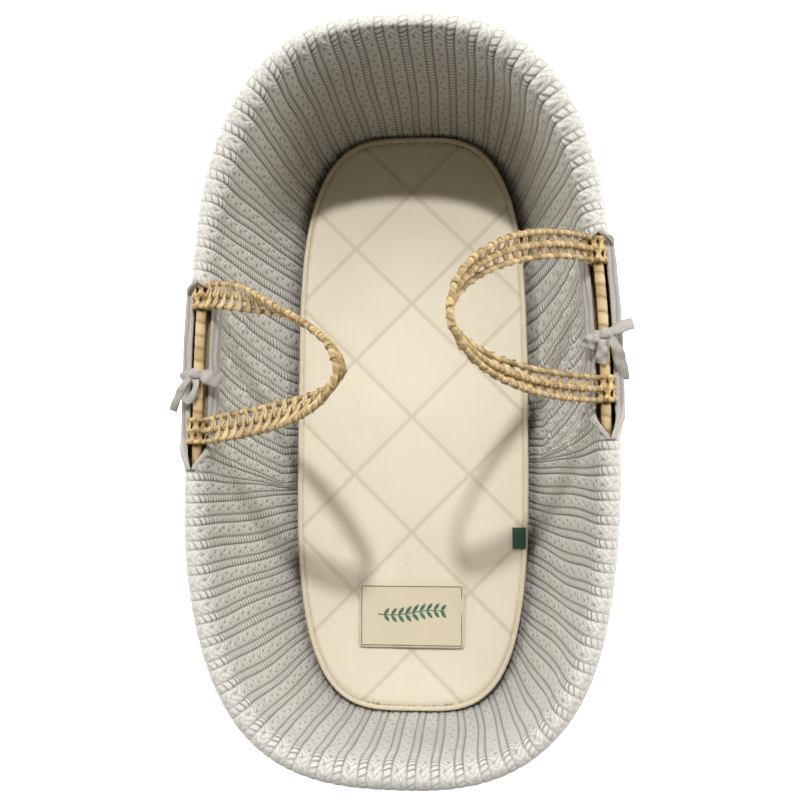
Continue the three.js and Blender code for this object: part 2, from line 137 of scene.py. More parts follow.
def waves(x, y, seed):
    """A smooth field of random waves, about -1 to 1; x and y are in wavelengths."""
    count = 5
    draw = np.random.default_rng(seed)
    total = np.zeros(np.broadcast(x, y).shape)
    for _ in range(count):
        angle, phase, scale = draw.uniform(0, TAU), draw.uniform(0, TAU), draw.uniform(0.7, 1.4)
        total += np.sin(TAU * scale * (x * math.cos(angle) + y * math.sin(angle)) + phase)
    return total / count**0.5 / 1.2


UP = np.array([0.0, 0.0, 1.0])


class Shape:
    """Vertices, faces and per-vertex values, gathered until the mesh is made."""

    def __init__(self):
        self.points, self.faces, self.values = [], [], {}
        self.count = 0

    def add_points(self, points, values):
        points = np.asarray(points, float).reshape(-1, 3)
        first = self.count
        self.points.append(points)
        for key, value in values.items():
            size = len(points)
            self.values.setdefault(key, []).append((first, np.broadcast_to(value, size).reshape(size)))
        self.count += len(points)
        return first

    def add_grid(self, points, wrap=False, caps=False, flip=False, **values):
        """A grid of points; a face's front is the side that (along rows) x (along columns) points to."""
        rows, columns = points.shape[:2]
        spread = {key: np.broadcast_to(value, (rows, columns)).reshape(-1) for key, value in values.items()}
        index = self.add_points(points, spread) + np.arange(rows * columns).reshape(rows, columns)
        left, right = (index, np.roll(index, -1, axis=1)) if wrap else (index[:, :-1], index[:, 1:])
        quads = np.stack([left[:-1], left[1:], right[1:], right[:-1]], axis=-1).reshape(-1, 4)
        self.faces.append(quads[:, ::-1] if flip else quads)
        if caps:
            self.faces.append(index[0][None, :])
            self.faces.append(index[-1][None, ::-1])

    def build(self, name, material, solid=False):
        """The object; solid turns every closed part's faces outward."""
        mesh = bpy.data.meshes.new(name)
        points = np.concatenate(self.points) * MM
        totals = np.concatenate([np.full(len(f), f.shape[1]) for f in self.faces])
        loops = np.concatenate([f.reshape(-1) for f in self.faces])
        mesh.vertices.add(len(points))
        mesh.vertices.foreach_set("co", points.astype(np.float32).reshape(-1))
        mesh.loops.add(len(loops))
        mesh.loops.foreach_set("vertex_index", loops.astype(np.int32))
        mesh.polygons.add(len(totals))
        mesh.polygons.foreach_set("loop_start", (np.cumsum(totals) - totals).astype(np.int32))
        mesh.update(calc_edges=True)
        for key, parts in self.values.items():
            whole = np.zeros(self.count, np.float32)
            for first, value in parts:
                whole[first : first + len(value)] = value
            mesh.attributes.new(key, "FLOAT", "POINT").data.foreach_set("value", whole)
        mesh.shade_smooth()
        if solid:
            work = bmesh.new()
            work.from_mesh(mesh)
            bmesh.ops.recalc_face_normals(work, faces=work.faces)
            work.to_mesh(mesh)
            work.free()
        mesh.materials.append(material)
        made = bpy.data.objects.new(name, mesh)
        bpy.context.scene.collection.objects.link(made)
        return made


def place_on(made, body, slot, *nodes):
    """A finished piece takes the place of these CAD nodes."""
    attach(made, body)
    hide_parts(*nodes)
    return made


def smooth_line(points, count):
    """A smooth line through the points, at even steps of its length."""
    points = np.asarray(points, float)
    padded = np.vstack([2 * points[0] - points[1], points, 2 * points[-1] - points[-2]])
    share = np.linspace(0, 1, 24, endpoint=False)[:, None]
    pieces = []
    for a, b, c, d in zip(padded, padded[1:], padded[2:], padded[3:]):
        curved = (2 * a - 5 * b + 4 * c - d) * share**2 + (3 * b - a - 3 * c + d) * share**3
        pieces.append(0.5 * (2 * b + (c - a) * share + curved))
    dense = np.vstack([*pieces, points[-1:]])
    length = distance_along(dense)
    even = np.linspace(0, length[-1], count)
    return np.stack([np.interp(even, length, dense[:, k]) for k in range(dense.shape[1])], axis=1)


# ---------- Outlines ----------


def quarter_table(half_width, half_length, squareness):
    angle = np.linspace(0, math.pi / 2, 361)
    x = half_width * np.abs(np.cos(angle)) ** (2 / squareness)
    y = half_length * np.sin(angle) ** (2 / squareness)
    length = np.concatenate([[0], np.cumsum(np.hypot(np.diff(x), np.diff(y)))])
    return x, y, length


def oval_points(oval, fraction):
    """Fraction 0 is on +X, 0.25 at the head, 0.5 on -X and 0.75 at the foot."""
    turn = np.mod(fraction, 1.0)
    quarter = np.minimum(3, np.floor(turn * 4)).astype(int)
    along = turn * 4 - quarter
    share = np.where(quarter % 2 == 0, along, 1 - along)
    points = np.empty(np.shape(fraction) + (2,))
    for end, y_sign, here in (("head", 1, quarter < 2), ("foot", -1, quarter >= 2)):
        x, y, length = quarter_table(oval["half_width"], oval[end], oval[end + "_squareness"])
        points[here, 0] = np.interp(share[here], length / length[-1], x)
        points[here, 1] = y_sign * np.interp(share[here], length / length[-1], y)
    on_left = (quarter == 1) | (quarter == 2)
    points[on_left, 0] *= -1
    return points


def oval_normals(oval, fraction):
    step = 0.002
    tangent = oval_points(oval, fraction + step) - oval_points(oval, fraction - step)
    return unit(np.stack([tangent[..., 1], -tangent[..., 0]], axis=-1))


def wall_oval(level):
    bulge = WALL_BULGE * math.sin(math.pi * level)
    mixed = {key: mix(BASE[key], RIM[key], level) for key in BASE}
    return {key: value if "squareness" in key else value + bulge for key, value in mixed.items()}


LEVELS = np.linspace(0, 1, 33)
FRACTIONS = np.linspace(0, 1, 1441)
WALL_POINTS = np.array([oval_points(wall_oval(level), FRACTIONS) for level in LEVELS])
WALL_NORMALS = np.array([oval_normals(wall_oval(level), FRACTIONS) for level in LEVELS])


def from_table(table, level, fraction):
    row = np.clip(level, 0, 1) * (len(LEVELS) - 1)
    column = np.mod(fraction, 1.0) * (len(FRACTIONS) - 1)
    r = np.minimum(row.astype(int), len(LEVELS) - 2)
    c = np.minimum(column.astype(int), len(FRACTIONS) - 2)
    down, over = (row - r)[..., None], (column - c)[..., None]
    lower = mix(table[r, c], table[r, c + 1], over)
    upper = mix(table[r + 1, c], table[r + 1, c + 1], over)
    return mix(lower, upper, down)


RIM_Y = oval_points(RIM, FRACTIONS)[:, 1]
HEAD_HEIGHTS = RIM_SIDE_HEIGHT + RIM_HEAD_RISE * (RIM_Y / RIM["head"]) ** 3
FOOT_HEIGHTS = RIM_SIDE_HEIGHT + RIM_FOOT_RISE * (RIM_Y / RIM["foot"]) ** 2
HEIGHTS = np.where(RIM_Y > 0, HEAD_HEIGHTS, FOOT_HEIGHTS)


def rim_height(fraction):
    return np.interp(np.mod(fraction, 1.0), FRACTIONS, HEIGHTS)


def beside_wall(fraction, outward, rise):
    """Points beside the wall: outward from the middle of its thickness, up or down from the rim rod."""
    fraction, outward, rise = np.broadcast_arrays(np.asarray(fraction, float), outward, rise)
    height = rim_height(fraction)
    level = (height + rise) / (height - RIM_UPRIGHT_BAND)
    flat = from_table(WALL_POINTS, level, fraction)
    flat = flat + from_table(WALL_NORMALS, level, fraction) * outward[..., None]
    return level_surface(flat, height + rise)


def beside_mattress(fraction, outward, height):
    fraction, outward, height = np.broadcast_arrays(np.asarray(fraction, float), outward, height)
    flat = oval_points(MATTRESS, fraction) + oval_normals(MATTRESS, fraction) * outward[..., None]
    return level_surface(flat, height)


def rim_outward(fraction):
    """The level direction out of the basket at the rim."""
    return level_surface(oval_normals(RIM, fraction), np.zeros(len(fraction)))


HEAD_QUARTER = quarter_table(RIM["half_width"], RIM["head"], RIM["head_squareness"])[2][-1]
FOOT_QUARTER = quarter_table(RIM["half_width"], RIM["foot"], RIM["foot_squareness"])[2][-1]
RIM_LENGTH = 2 * (HEAD_QUARTER + FOOT_QUARTER)
QUARTERS = [0, 0.25, 0.5, 0.75, 1]
QUARTER_ENDS = np.cumsum([0, HEAD_QUARTER, HEAD_QUARTER, FOOT_QUARTER, FOOT_QUARTER])


def arc_to_fraction(arc):
    return np.interp(np.mod(arc, RIM_LENGTH), QUARTER_ENDS, QUARTERS)


def fraction_to_arc(fraction):
    turns = np.floor(fraction)
    return np.interp(fraction - turns, QUARTERS, QUARTER_ENDS) + turns * RIM_LENGTH


def rim_fraction(sign, y):
    """The fraction where one side of the rim has this y: -0.25 to 0.25 right, 0.25 to 0.75 left."""
    fractions = np.linspace(-0.25, 0.25, 4001) if sign > 0 else np.linspace(0.75, 0.25, 4001)
    return float(np.interp(y, oval_points(RIM, fractions)[:, 1], fractions))


# ---------- Materials ----------


class Nodes:
    """A material whose node tree is written as short calls."""

    def __init__(self, name):
        self.material = bpy.data.materials.new(name)
        self.material.use_nodes = True
        self.tree = self.material.node_tree
        self.shader = self.tree.nodes["Principled BSDF"]
        self.where = self.node("ShaderNodeTexCoord").outputs["Object"]

    def node(self, kind, settings=None, **inputs):
        made = self.tree.nodes.new(kind)
        for key, value in (settings or {}).items():
            setattr(made, key, value)
        for key, value in inputs.items():
            self.put(made.inputs[key.replace("_", " ")], value)
        return made

    def put(self, socket, value):
        if isinstance(value, bpy.types.NodeSocket):
            self.tree.links.new(value, socket)
        else:
            socket.default_value = value

    def value(self, name):
        """A per-vertex value of the mesh."""
        return self.node("ShaderNodeAttribute", {"attribute_name": name}).outputs["Fac"]

    def math(self, operation, *terms):
        """A Math node on one or two terms."""
        made = self.node("ShaderNodeMath", {"operation": operation})
        for socket, term in zip(made.inputs, terms):
            self.put(socket, term)
        return made.outputs[0]

    def times(self, a, b):
        return self.math("MULTIPLY", a, b)

    def plus(self, a, b):
        return self.math("ADD", a, b)

    def noise(self, scale, detail, stretch=(1, 1, 1), vector=None):
        """Noise at this many cycles a metre."""
        mapped = self.node("ShaderNodeMapping", Vector=vector or self.where, Scale=stretch)
        made = self.node("ShaderNodeTexNoise", Vector=mapped.outputs[0], Scale=scale, Detail=detail)
        return made.outputs["Fac"]

    def between(self, amount, low, high):
        """0 at low and 1 at high, held outside them."""
        made = self.node("ShaderNodeMapRange", Value=amount, From_Min=low, From_Max=high)
        return made.outputs["Result"]

    def ramp(self, amount, *stops):
        made = self.node("ShaderNodeValToRGB", Fac=amount)
        elements = made.color_ramp.elements
        while len(elements) < len(stops):
            elements.new(0.5)
        for element, (position, colour) in zip(elements, stops):
            element.position = position
            element.color = (*colour, 1)
        return made.outputs["Color"]

    def blend(self, amount, a, b):
        made = self.node("ShaderNodeMix", {"data_type": "RGBA"})
        for index, term in ((0, amount), (6, a), (7, b)):
            self.put(made.inputs[index], (*term, 1) if isinstance(term, tuple) else term)
        return made.outputs[2]

    def bump(self, *layers):
        """Each layer is (height, depth in metres)."""
        normal = None
        for height, depth in layers:
            made = self.node("ShaderNodeBump", Height=height, Distance=depth, Strength=1.0)
            if normal is not None:
                self.put(made.inputs["Normal"], normal)
            normal = made.outputs[0]
        self.put(self.shader.inputs["Normal"], normal)

    def finish(self, colour, roughness, **inputs):
        self.put(self.shader.inputs["Base Color"], colour)
        self.put(self.shader.inputs["Roughness"], roughness)
        for key, value in inputs.items():
            self.put(self.shader.inputs[key.replace("_", " ")], value)
        return self.material


def vector_from(nodes, x, y):
    made = nodes.node("ShaderNodeCombineXYZ")
    nodes.put(made.inputs[0], nodes.value(x))
    nodes.put(made.inputs[1], nodes.value(y))
    return made.outputs[0]


def knit_material():
    """Heather yarn: the mesh's shade value paints shade into its grooves and dimples, and painted shade lines
    between the rungs and along the plait's strokes are drawn here.
    """
    nodes = Nodes("cable_knit")
    fleck = nodes.noise(1000, 3.0)
    patch = nodes.noise(14, 2.0)
    yarn = nodes.ramp(fleck, (0.30, (0.42, 0.415, 0.39)), (0.66, (0.80, 0.80, 0.765)))
    yarn = nodes.blend(nodes.times(patch, 0.25), yarn, (0.47, 0.455, 0.41))
    across = nodes.math("MODULO", nodes.value("pattern_u"), float(KNIT_REPEAT))
    along = nodes.value("pattern_v")
    in_rope = nodes.math("LESS_THAN", across, float(ROPE_WIDTH))
    rung = nodes.plus(nodes.math("DIVIDE", along, RUNG), nodes.times(across, 2 * RUNG_SLANT / ROPE_WIDTH))
    rung = nodes.between(nodes.math("COSINE", nodes.times(rung, TAU)), -0.25, -1.0)
    beside = nodes.math("ABSOLUTE", nodes.math("SUBTRACT", across, float(PLAIT_CENTRE)))
    stroke = nodes.math("DIVIDE", nodes.plus(along, nodes.times(beside, STROKE_SLANT)), STROKE)
    stroke = nodes.between(nodes.math("COSINE", nodes.times(stroke, TAU)), 0.1, 1.0)
    stroke = nodes.times(stroke, nodes.between(beside, 7.5, 5.5))
    # Painted shade: dark lines in the hollows between the rope's rungs and along the plait's strokes.
    lines = nodes.blend(in_rope, nodes.times(stroke, 0.36), nodes.times(rung, 0.8))
    lines = nodes.times(lines, nodes.value("pattern"))
    # Painted shade from the mesh (grooves, dimples) and from the rung and stroke lines darkens the one
    # heather yarn.
    shade = nodes.math("MAXIMUM", nodes.times(nodes.value("shade"), 0.96), lines)
    colour = nodes.blend(shade, yarn, (0.040, 0.032, 0.024))
    nodes.bump((fleck, 0.0008))
    return nodes.finish(colour, 0.92, Sheen_Weight=0.2, Sheen_Roughness=0.5, Specular_IOR_Level=0.2)


def jersey_material():
    """Plain grey jersey with a fine rib along it."""
    nodes = Nodes("jersey")
    fleck = nodes.noise(1300, 2.0)
    rib = nodes.noise(500, 1.0, stretch=(1, 0.12, 1))
    yarn = nodes.ramp(fleck, (0.32, (0.28, 0.27, 0.255)), (0.68, (0.48, 0.465, 0.44)))
    # Painted shade: the mesh's shade value darkens the jersey in its creases and folds and at its strip
    # edges.
    colour = nodes.blend(nodes.times(nodes.value("shade"), 0.9), yarn, (0.06, 0.05, 0.04))
    nodes.bump((rib, 0.0004), (fleck, 0.0003))
    return nodes.finish(colour, 0.9, Sheen_Weight=0.2, Specular_IOR_Level=0.2)


def palm_material(name, light, dark, roughness):
    """Dry palm leaf in strips: fibres run along each strip, and each strip has its own tone."""
    nodes = Nodes(name)
    along = vector_from(nodes, "pattern_u", "pattern_v")
    fibre = nodes.noise(0.9, 3.0, stretch=(0.1, 1.6, 1), vector=along)
    blotch = nodes.noise(70, 3.0)
    tone = nodes.plus(nodes.times(nodes.value("tone"), 0.6), nodes.times(fibre, 0.4))
    tone = nodes.plus(tone, nodes.times(nodes.math("SUBTRACT", blotch, 0.5), 0.5))
    colour = nodes.ramp(tone, (0.15, dark), (0.8, light))
    # Painted shade: the mesh's shade value darkens the palm in the gaps between strands, between wound turns
    # and at strip edges.
    painted_shade_colour = tuple(0.16 * channel for channel in dark)
    colour = nodes.blend(nodes.times(nodes.value("shade"), 0.9), colour, painted_shade_colour)
    nodes.bump((fibre, 0.0007))
    return nodes.finish(colour, roughness, Specular_IOR_Level=0.4)


def cotton_material(name, light, dark):
    """Woven cotton with soft patches and creases; the mesh's shade value paints shade along its seams and
    edges.
    """
    nodes = Nodes(name)
    weave = nodes.noise(1500, 1.0)
    patch = nodes.noise(9, 3.0)
    colour = nodes.blend(nodes.times(patch, 0.6), light, dark)
    colour = nodes.blend(nodes.times(weave, 0.12), colour, dark)
    # Painted shade along the seams and at the panel's edge.
    colour = nodes.blend(nodes.value("shade"), colour, (0.30, 0.22, 0.12))
    crease = nodes.noise(55, 4.0, stretch=(1, 0.35, 1))
    nodes.bump((weave, 0.0002), (crease, 0.0025))
    return nodes.finish(colour, 0.85, Sheen_Weight=0.15, Specular_IOR_Level=0.25)


def plain_cloth_material(name, colour, deep):
    nodes = Nodes(name)
    weave = nodes.noise(1800, 2.0)
    nodes.bump((weave, 0.0002))
    return nodes.finish(nodes.ramp(weave, (0.35, deep), (0.65, colour)), 0.8)


def foam_material():
    nodes = Nodes("foam")
    cells = nodes.node("ShaderNodeTexVoronoi", Vector=nodes.where, Scale=700.0).outputs["Distance"]
    nodes.bump((cells, 0.0006))
    return nodes.finish(nodes.ramp(cells, (0.1, (0.72, 0.62, 0.40)), (0.6, (0.87, 0.79, 0.58))), 0.95)


def cane_material():
    nodes = Nodes("cane")
    grain = nodes.noise(160, 4.0, stretch=(1, 1, 0.2))
    nodes.bump((grain, 0.0004))
    return nodes.finish(nodes.ramp(grain, (0.3, (0.30, 0.17, 0.07)), (0.7, (0.52, 0.34, 0.16))), 0.5)


def floor_material():
    nodes = Nodes("pale_floor")
    cloud = nodes.noise(3, 2.0)
    colour = nodes.ramp(cloud, (0.3, (0.93, 0.93, 0.93)), (0.7, (0.96, 0.96, 0.96)))
    return nodes.finish(colour, 0.9, Emission_Color=(1, 1, 1, 1), Emission_Strength=0.8)


KNIT = knit_material()
JERSEY = jersey_material()
PALM = palm_material("palm_strap", (0.62, 0.46, 0.22), (0.23, 0.145, 0.05), 0.5)
WINDING = palm_material("palm_winding", (0.60, 0.445, 0.245), (0.40, 0.27, 0.125), 0.4)
WEAVE = palm_material("palm_weave", (0.62, 0.50, 0.31), (0.30, 0.22, 0.11), 0.7)
COTTON = cotton_material("cream_cotton", (0.79, 0.73, 0.615), (0.68, 0.61, 0.475))
BINDING = cotton_material("cream_binding", (0.71, 0.635, 0.49), (0.60, 0.52, 0.38))
GREEN = plain_cloth_material("green_tag", (0.045, 0.115, 0.075), (0.02, 0.06, 0.04))
THREAD = plain_cloth_material("green_thread", (0.10, 0.22, 0.14), (0.04, 0.12, 0.075))
FOAM = foam_material()
CANE = cane_material()

# ---------- Camera, light and floor ----------


def add_camera():
    camera = bpy.data.objects.new("camera", bpy.data.cameras.new("camera"))
    camera.data.lens = 40
    camera.data.sensor_width = 36
    camera.location = (0.089, -0.083, 1.216)
    turn = Matrix.Rotation(0.0848, 4, "X") @ Matrix.Rotation(0.084, 4, "Y") @ Matrix.Rotation(-0.0059, 4, "Z")
    camera.rotation_euler = turn.to_euler()
    camera.data.clip_start = 0.05
    bpy.context.scene.collection.objects.link(camera)
    bpy.context.scene.camera = camera


def add_area_light(name, place, size, power, aim=(0, 0, 0.1), colour=(1, 1, 1)):
    data = bpy.data.lights.new(name, "AREA")
    data.shape = "DISK"
    data.size = size
    data.energy = power
    data.color = colour
    lamp = bpy.data.objects.new(name, data)
    lamp.location = place
    lamp.rotation_euler = (Vector(aim) - Vector(place)).to_track_quat("-Z", "Y").to_euler()
    bpy.context.scene.collection.objects.link(lamp)


def add_sky(tree):
    """A pale band at the horizon and a dim warm ceiling over it."""
    where = tree.nodes.new("ShaderNodeTexCoord").outputs["Generated"]
    split = tree.nodes.new("ShaderNodeSeparateXYZ")
    tree.links.new(where, split.inputs[0])
    ramp = tree.nodes.new("ShaderNodeValToRGB")
    low, high = ramp.color_ramp.elements
    low.position, low.color = 0.20, (0.58, 0.575, 0.56, 1)
    high.position, high.color = 0.42, (0.095, 0.072, 0.045, 1)
    tree.links.new(split.outputs["Z"], ramp.inputs[0])
    tree.links.new(ramp.outputs[0], tree.nodes["Background"].inputs["Color"])


def add_surroundings():
    add_area_light("key", (0.12, 1.60, 3.3), 0.18, 84, colour=(1.0, 0.98, 0.96))
    add_area_light("head_left", (-1.5, 1.9, 2.7), 1.5, 36)
    add_area_light("head_right", (1.5, 1.9, 2.7), 1.5, 40)
    add_area_light("left_side", (-2.5, 0.7, 1.3), 1.2, 30, (0.2, 0.1, 0.2), (1.0, 0.96, 0.88))
    add_area_light("right_side", (2.5, 0.7, 1.3), 1.2, 31, (-0.2, 0.1, 0.2), (1.0, 0.96, 0.88))
    world = bpy.data.worlds.new("studio")
    world.use_nodes = True
    add_sky(world.node_tree)
    bpy.context.scene.world = world
    bpy.context.scene.view_settings.view_transform = "Standard"

    half = 6000
    corners = np.array([[[-half, -half, 0], [half, -half, 0]], [[-half, half, 0], [half, half, 0]]], float)
    shape = Shape()
    shape.add_grid(corners, flip=True)
    shape.build("floor", floor_material())


# ---------- Knitted liner ----------

REPEATS = 82
REPEAT = RIM_LENGTH / REPEATS
# Places of the mesh columns in one repeat of the knit: those of the rope, then those of the plait.
ROPE_COLUMNS = (0, 0.7, 2.3, 4.5, 6.7, 8.3, 9)
PLAIT_COLUMNS = (9.7, 11.4, 13.2, 14.7, 15.8, 17, 18.2, 19.3, 20.8, 22.6, 24.3)
COLUMN_PLACES = np.array(ROPE_COLUMNS + PLAIT_COLUMNS)
WALL_ROWS = 132
INNER_ROWS = 56
OUTER_ROWS = 66

# The liner's section over the rim, as (outward, rise) from the rod: whole, and turned back at a slot.
FOLD = (-8.6, -60)
ROLL_TOP = (2.6, 13.2)
HEM = (8.6, -95)
INNER_CLOSED = smooth_line(
    [FOLD, (-9.2, -44), (-10.6, -26), (-10.4, -12), (-9.6, -2), (-7.0, 6), (-2.6, 11.6), ROLL_TOP],
    INNER_ROWS,
)
INNER_OPEN = smooth_line([FOLD, (-9.6, -48), (-12.4, -34), (-14.8, -25), (-15.6, -17.5)], INNER_ROWS)
OUTER_CLOSED = smooth_line(
    [ROLL_TOP, (7.9, 11.9), (11.9, 7.6), (14.2, 1), (15, -8), (14.8, -24), (13.4, -46), (11, -72), HEM],
    OUTER_ROWS,
)
OUTER_OPEN = smooth_line([(19.6, -15), (20, -24), (17.6, -38), (14.4, -54), (11, -74), HEM], OUTER_ROWS)


def turning_mix(closed, opened, share, low_angle):
    """Between two lines of (outward, rise) points, turning about the rod and not across it."""

    def polar(line):
        angle = np.degrees(np.arctan2(line[:, 1], line[:, 0]))
        return np.where(angle < low_angle, angle + 360, angle), np.hypot(line[:, 0], line[:, 1])

    (angle_a, radius_a), (angle_b, radius_b) = polar(closed), polar(opened)
    angle = np.radians(mix(angle_a[:, None], angle_b[:, None], share))
    near_rod = smoothstep(radius_a, 60, 25)[:, None]
    pulled_in = 0.16 * np.sin(math.pi * share) * near_rod
    radius = mix(radius_a[:, None], radius_b[:, None], share) * (1 - pulled_in)
    return radius * np.cos(angle), radius * np.sin(angle)


def rim_arc(side, y):
    return float(fraction_to_arc(rim_fraction(SIDES[side]["sign"], y)))


def rim_y(side, arc):
    """The y of a place along the rim for a side, and a far one for places on the other side."""
    points = oval_points(RIM, arc_to_fraction(arc))
    here = points[..., 0] * SIDES[side]["sign"] > 0
    return np.where(here, points[..., 1], 1e4)


def openness(arc):
    """0 where the liner is whole, 1 where a slot bares the rod."""
    total = np.zeros(np.shape(arc))
    for name, side in SIDES.items():
        y = rim_y(name, arc)
        total += smoothstep(side["slot_head"] - y, 5, 17) * smoothstep(y - side["slot_foot"], 0, 42)
    return total


def gather(arc):
    """How far each knit column slants along the rim from top to bottom, and how creased the cloth is."""
    slant, crease = np.zeros(np.shape(arc)), np.zeros(np.shape(arc))
    for name, side in SIDES.items():
        y = rim_y(name, arc)
        from_head = side["slot_head"] - y
        from_foot = y - side["slot_foot"]
        strength = smoothstep(from_head, -70, 60) * smoothstep(from_foot, -38, side["slant_fade"] - 38)
        slant -= side["sign"] * side["slant"] * strength
        crease += smoothstep(from_head, -40, 40) * smoothstep(from_foot, -60, 20)
    return slant, crease


def head_fullness(arc):
    """How much further out the padded roll sits beside the head, most on its right, and in at its middle."""
    at = arc / RIM_LENGTH
    middle = smoothstep(np.abs(at - 0.25), 0.10, 0.0)
    beside = 4 * smoothstep(np.abs(at - 0.25), 0.19, 0.06) + 6 * smoothstep(np.abs(at - 0.155), 0.08, 0.0)
    return beside * (1 - middle) - 2.6 * middle


def knit_relief(u, v):
    """Height in millimetres and shade of the knit; u counts repeats and v runs along the columns."""
    across = np.mod(u, 1.0) * KNIT_REPEAT + 0.22 * np.sin(TAU * v / RUNG)
    rope = (across - ROPE_WIDTH / 2) / (ROPE_WIDTH / 2)
    in_rope = np.abs(rope) < 1.001
    crown = np.sqrt(np.clip(1 - rope**2, 0, 1))
    rung = 0.5 + 0.5 * np.cos(TAU * (v / RUNG + RUNG_SLANT * (rope + 1)))
    rope_height = crown * (0.7 + 0.8 * rung)

    off_centre = across - PLAIT_CENTRE
    plait = np.clip(np.abs(off_centre) / 8, 0, 1)
    dimple = np.zeros(np.shape(v))
    for side, start in ((1.9, 0), (-1.9, PLAIT_CROSSING)):
        nearest = np.mod(v - start + PLAIT_CROSSING, 2 * PLAIT_CROSSING) - PLAIT_CROSSING
        dimple += np.exp(-(((off_centre - side) / 1.5) ** 2) - (nearest / 2.6) ** 2)
    strand = np.cos(TAU * (v + 0.9 * np.abs(off_centre)) / (2 * PLAIT_CROSSING)) * np.tanh(off_centre / 2.5)
    stroke = np.cos(TAU * (v + STROKE_SLANT * np.abs(off_centre)) / STROKE)
    texture = (0.5 * strand + 0.35 * stroke) * (1 - plait)
    plait_height = 1.3 * (1 - plait**3) - texture - 1.5 * dimple

    edge = np.minimum.reduce([np.abs(across), np.abs(across - ROPE_WIDTH), np.abs(KNIT_REPEAT - across)])
    groove = np.exp(-((edge / 0.7) ** 2))
    height = np.where(in_rope, rope_height, plait_height) - 1.3 * groove
    # shade: painted shade in the grooves beside each rope and in the plait's dimples.
    shade = np.clip(groove * (0.70 + 0.25 * np.cos(TAU * v / 3.2)) + 0.85 * dimple, 0, 1)
    return height, shade


def grid_normals(points):
    return unit(np.cross(np.gradient(points, axis=0), np.gradient(points, axis=1)))


def liner_rings():
    """The liner's cloth as two rings of points, inside and outside, that meet on top of the rim."""
    columns = (np.arange(REPEATS)[:, None] + COLUMN_PLACES[None, :] / KNIT_REPEAT).reshape(-1)
    arc = columns * REPEAT
    opened = openness(arc)
    slant, crease = gather(arc)
    height = rim_height(arc_to_fraction(arc))

    inner_out, inner_rise = turning_mix(INNER_CLOSED, INNER_OPEN, opened, 0)
    outer_out, outer_rise = turning_mix(OUTER_CLOSED, OUTER_OPEN, opened, -180)
    bottom_rise = FLOOR_THICKNESS + 2 - height
    share = np.linspace(0, 1, WALL_ROWS)[:-1, None]
    wall_rise = mix(bottom_rise, FOLD[1], share)
    wall_out = np.full_like(wall_rise, FOLD[0])
    out, rise = np.vstack([wall_out, inner_out]), np.vstack([wall_rise, inner_rise])

    fullness = head_fullness(arc)
    out = out + fullness * smoothstep(rise, 6, ROLL_TOP[1])
    outer_out = outer_out + fullness * smoothstep(outer_rise, HEM[1], -20)

    depth = np.clip((FOLD[1] * 0.3 - rise) / (height - 70), 0, 1)
    sway = 1.6 * waves(arc / 170, rise / 120, 3)
    outer_sway = 1.6 * waves(arc / 170, outer_rise / 120, 3)
    inner = beside_wall(arc_to_fraction(arc + slant * depth + sway), out, rise)
    outer = beside_wall(arc_to_fraction(arc + outer_sway), outer_out, outer_rise)

    steps = np.hypot(np.diff(inner_out, axis=0), np.diff(inner_rise, axis=0))
    above = np.vstack([np.zeros(len(arc)), np.cumsum(steps, axis=0)])
    inner_v = np.vstack([(wall_rise - FOLD[1]) * 1.03, above])
    outer_steps = np.hypot(np.diff(outer_out, axis=0), np.diff(outer_rise, axis=0))
    top_length = np.hypot(*np.diff(INNER_CLOSED, axis=0).T).sum()
    closed_length = np.hypot(*np.diff(OUTER_CLOSED, axis=0).T).sum()
    from_hem = np.vstack([np.cumsum(outer_steps[::-1], axis=0)[::-1], np.zeros(len(arc))])
    outer_v = top_length + closed_length - from_hem

    inner_normal, outer_normal = grid_normals(inner), grid_normals(outer)
    whole = opened < 1e-6
    shared = unit(inner_normal[-1, whole] + outer_normal[0, whole])
    inner_normal[-1, whole] = shared
    outer_normal[0, whole] = shared

    rings = []
    for points, normal, v, inside in ((inner, inner_normal, inner_v, 1), (outer, outer_normal, outer_v, 0)):
        relief, shade = knit_relief(np.broadcast_to(columns, v.shape), v)
        # Painted highlight: over the roll's outer top, where the light falls strongest, the painted groove
        # shade and the relief fade, so it reads brighter.
        lit_roll_fade = smoothstep(v, top_length - 16, top_length + 8) * (1 - 0.6 * smoothstep(v, 95, 125))
        strength = 1 - 0.65 * lit_roll_fade
        soft = 1.3 * waves(arc / 240, v / 130, 5) + inside * crease * fold_height(arc, v)
        lifted = points + normal * (relief * strength + soft)[..., None]
        rings.append({"points": lifted, "v": v, "shade": shade * strength, "strength": strength})
    return columns, rings


def fold_height(arc, v):
    """Soft creases that run nearly along the rim, over the slanting knit beside each slot."""
    down = -v
    phase = down / 46 - arc / 210 + 0.35 * waves(arc / 150, down / 110, 11)
    ridge = np.clip(np.sin(TAU * phase), 0, 1) ** 2
    strength = np.clip(0.6 + 0.8 * waves(arc / 90, down / 90, 12), 0, 1.4)
    return 2.2 * ridge * strength * smoothstep(down, -45, 10) * smoothstep(235 - down, 0, 90)


def liner_piece(name, rings, columns, start, end, parts, nodes):
    """One cut of the liner between two places along the rim, in repeats of the knit."""
    each = len(COLUMN_PLACES)
    places = np.arange(round(start * each), round(end * each) + 1)
    pick = places % len(columns)
    cloth = {key: rings[parts[0]][key][:, pick] for key in rings[0]}
    for part in parts[1:]:
        cloth = {key: np.vstack([cloth[key], rings[part][key][1:, pick]]) for key in cloth}
    pattern_u = (places // each + REPEATS) * KNIT_REPEAT + COLUMN_PLACES[places % each]
    shape = Shape()
    shape.add_grid(
        cloth["points"],
        shade=cloth["shade"],
        pattern=cloth["strength"],
        pattern_u=pattern_u[None, :],
        pattern_v=cloth["v"],
    )
    made = place_on(shape.build(name, KNIT), "basket", "knit", *nodes)


def slot_ends(side):
    """The slot's two ends in repeats along the rim, in rising order."""
    return sorted(rim_arc(side, SIDES[side][end]) / REPEAT for end in ("slot_head", "slot_foot"))


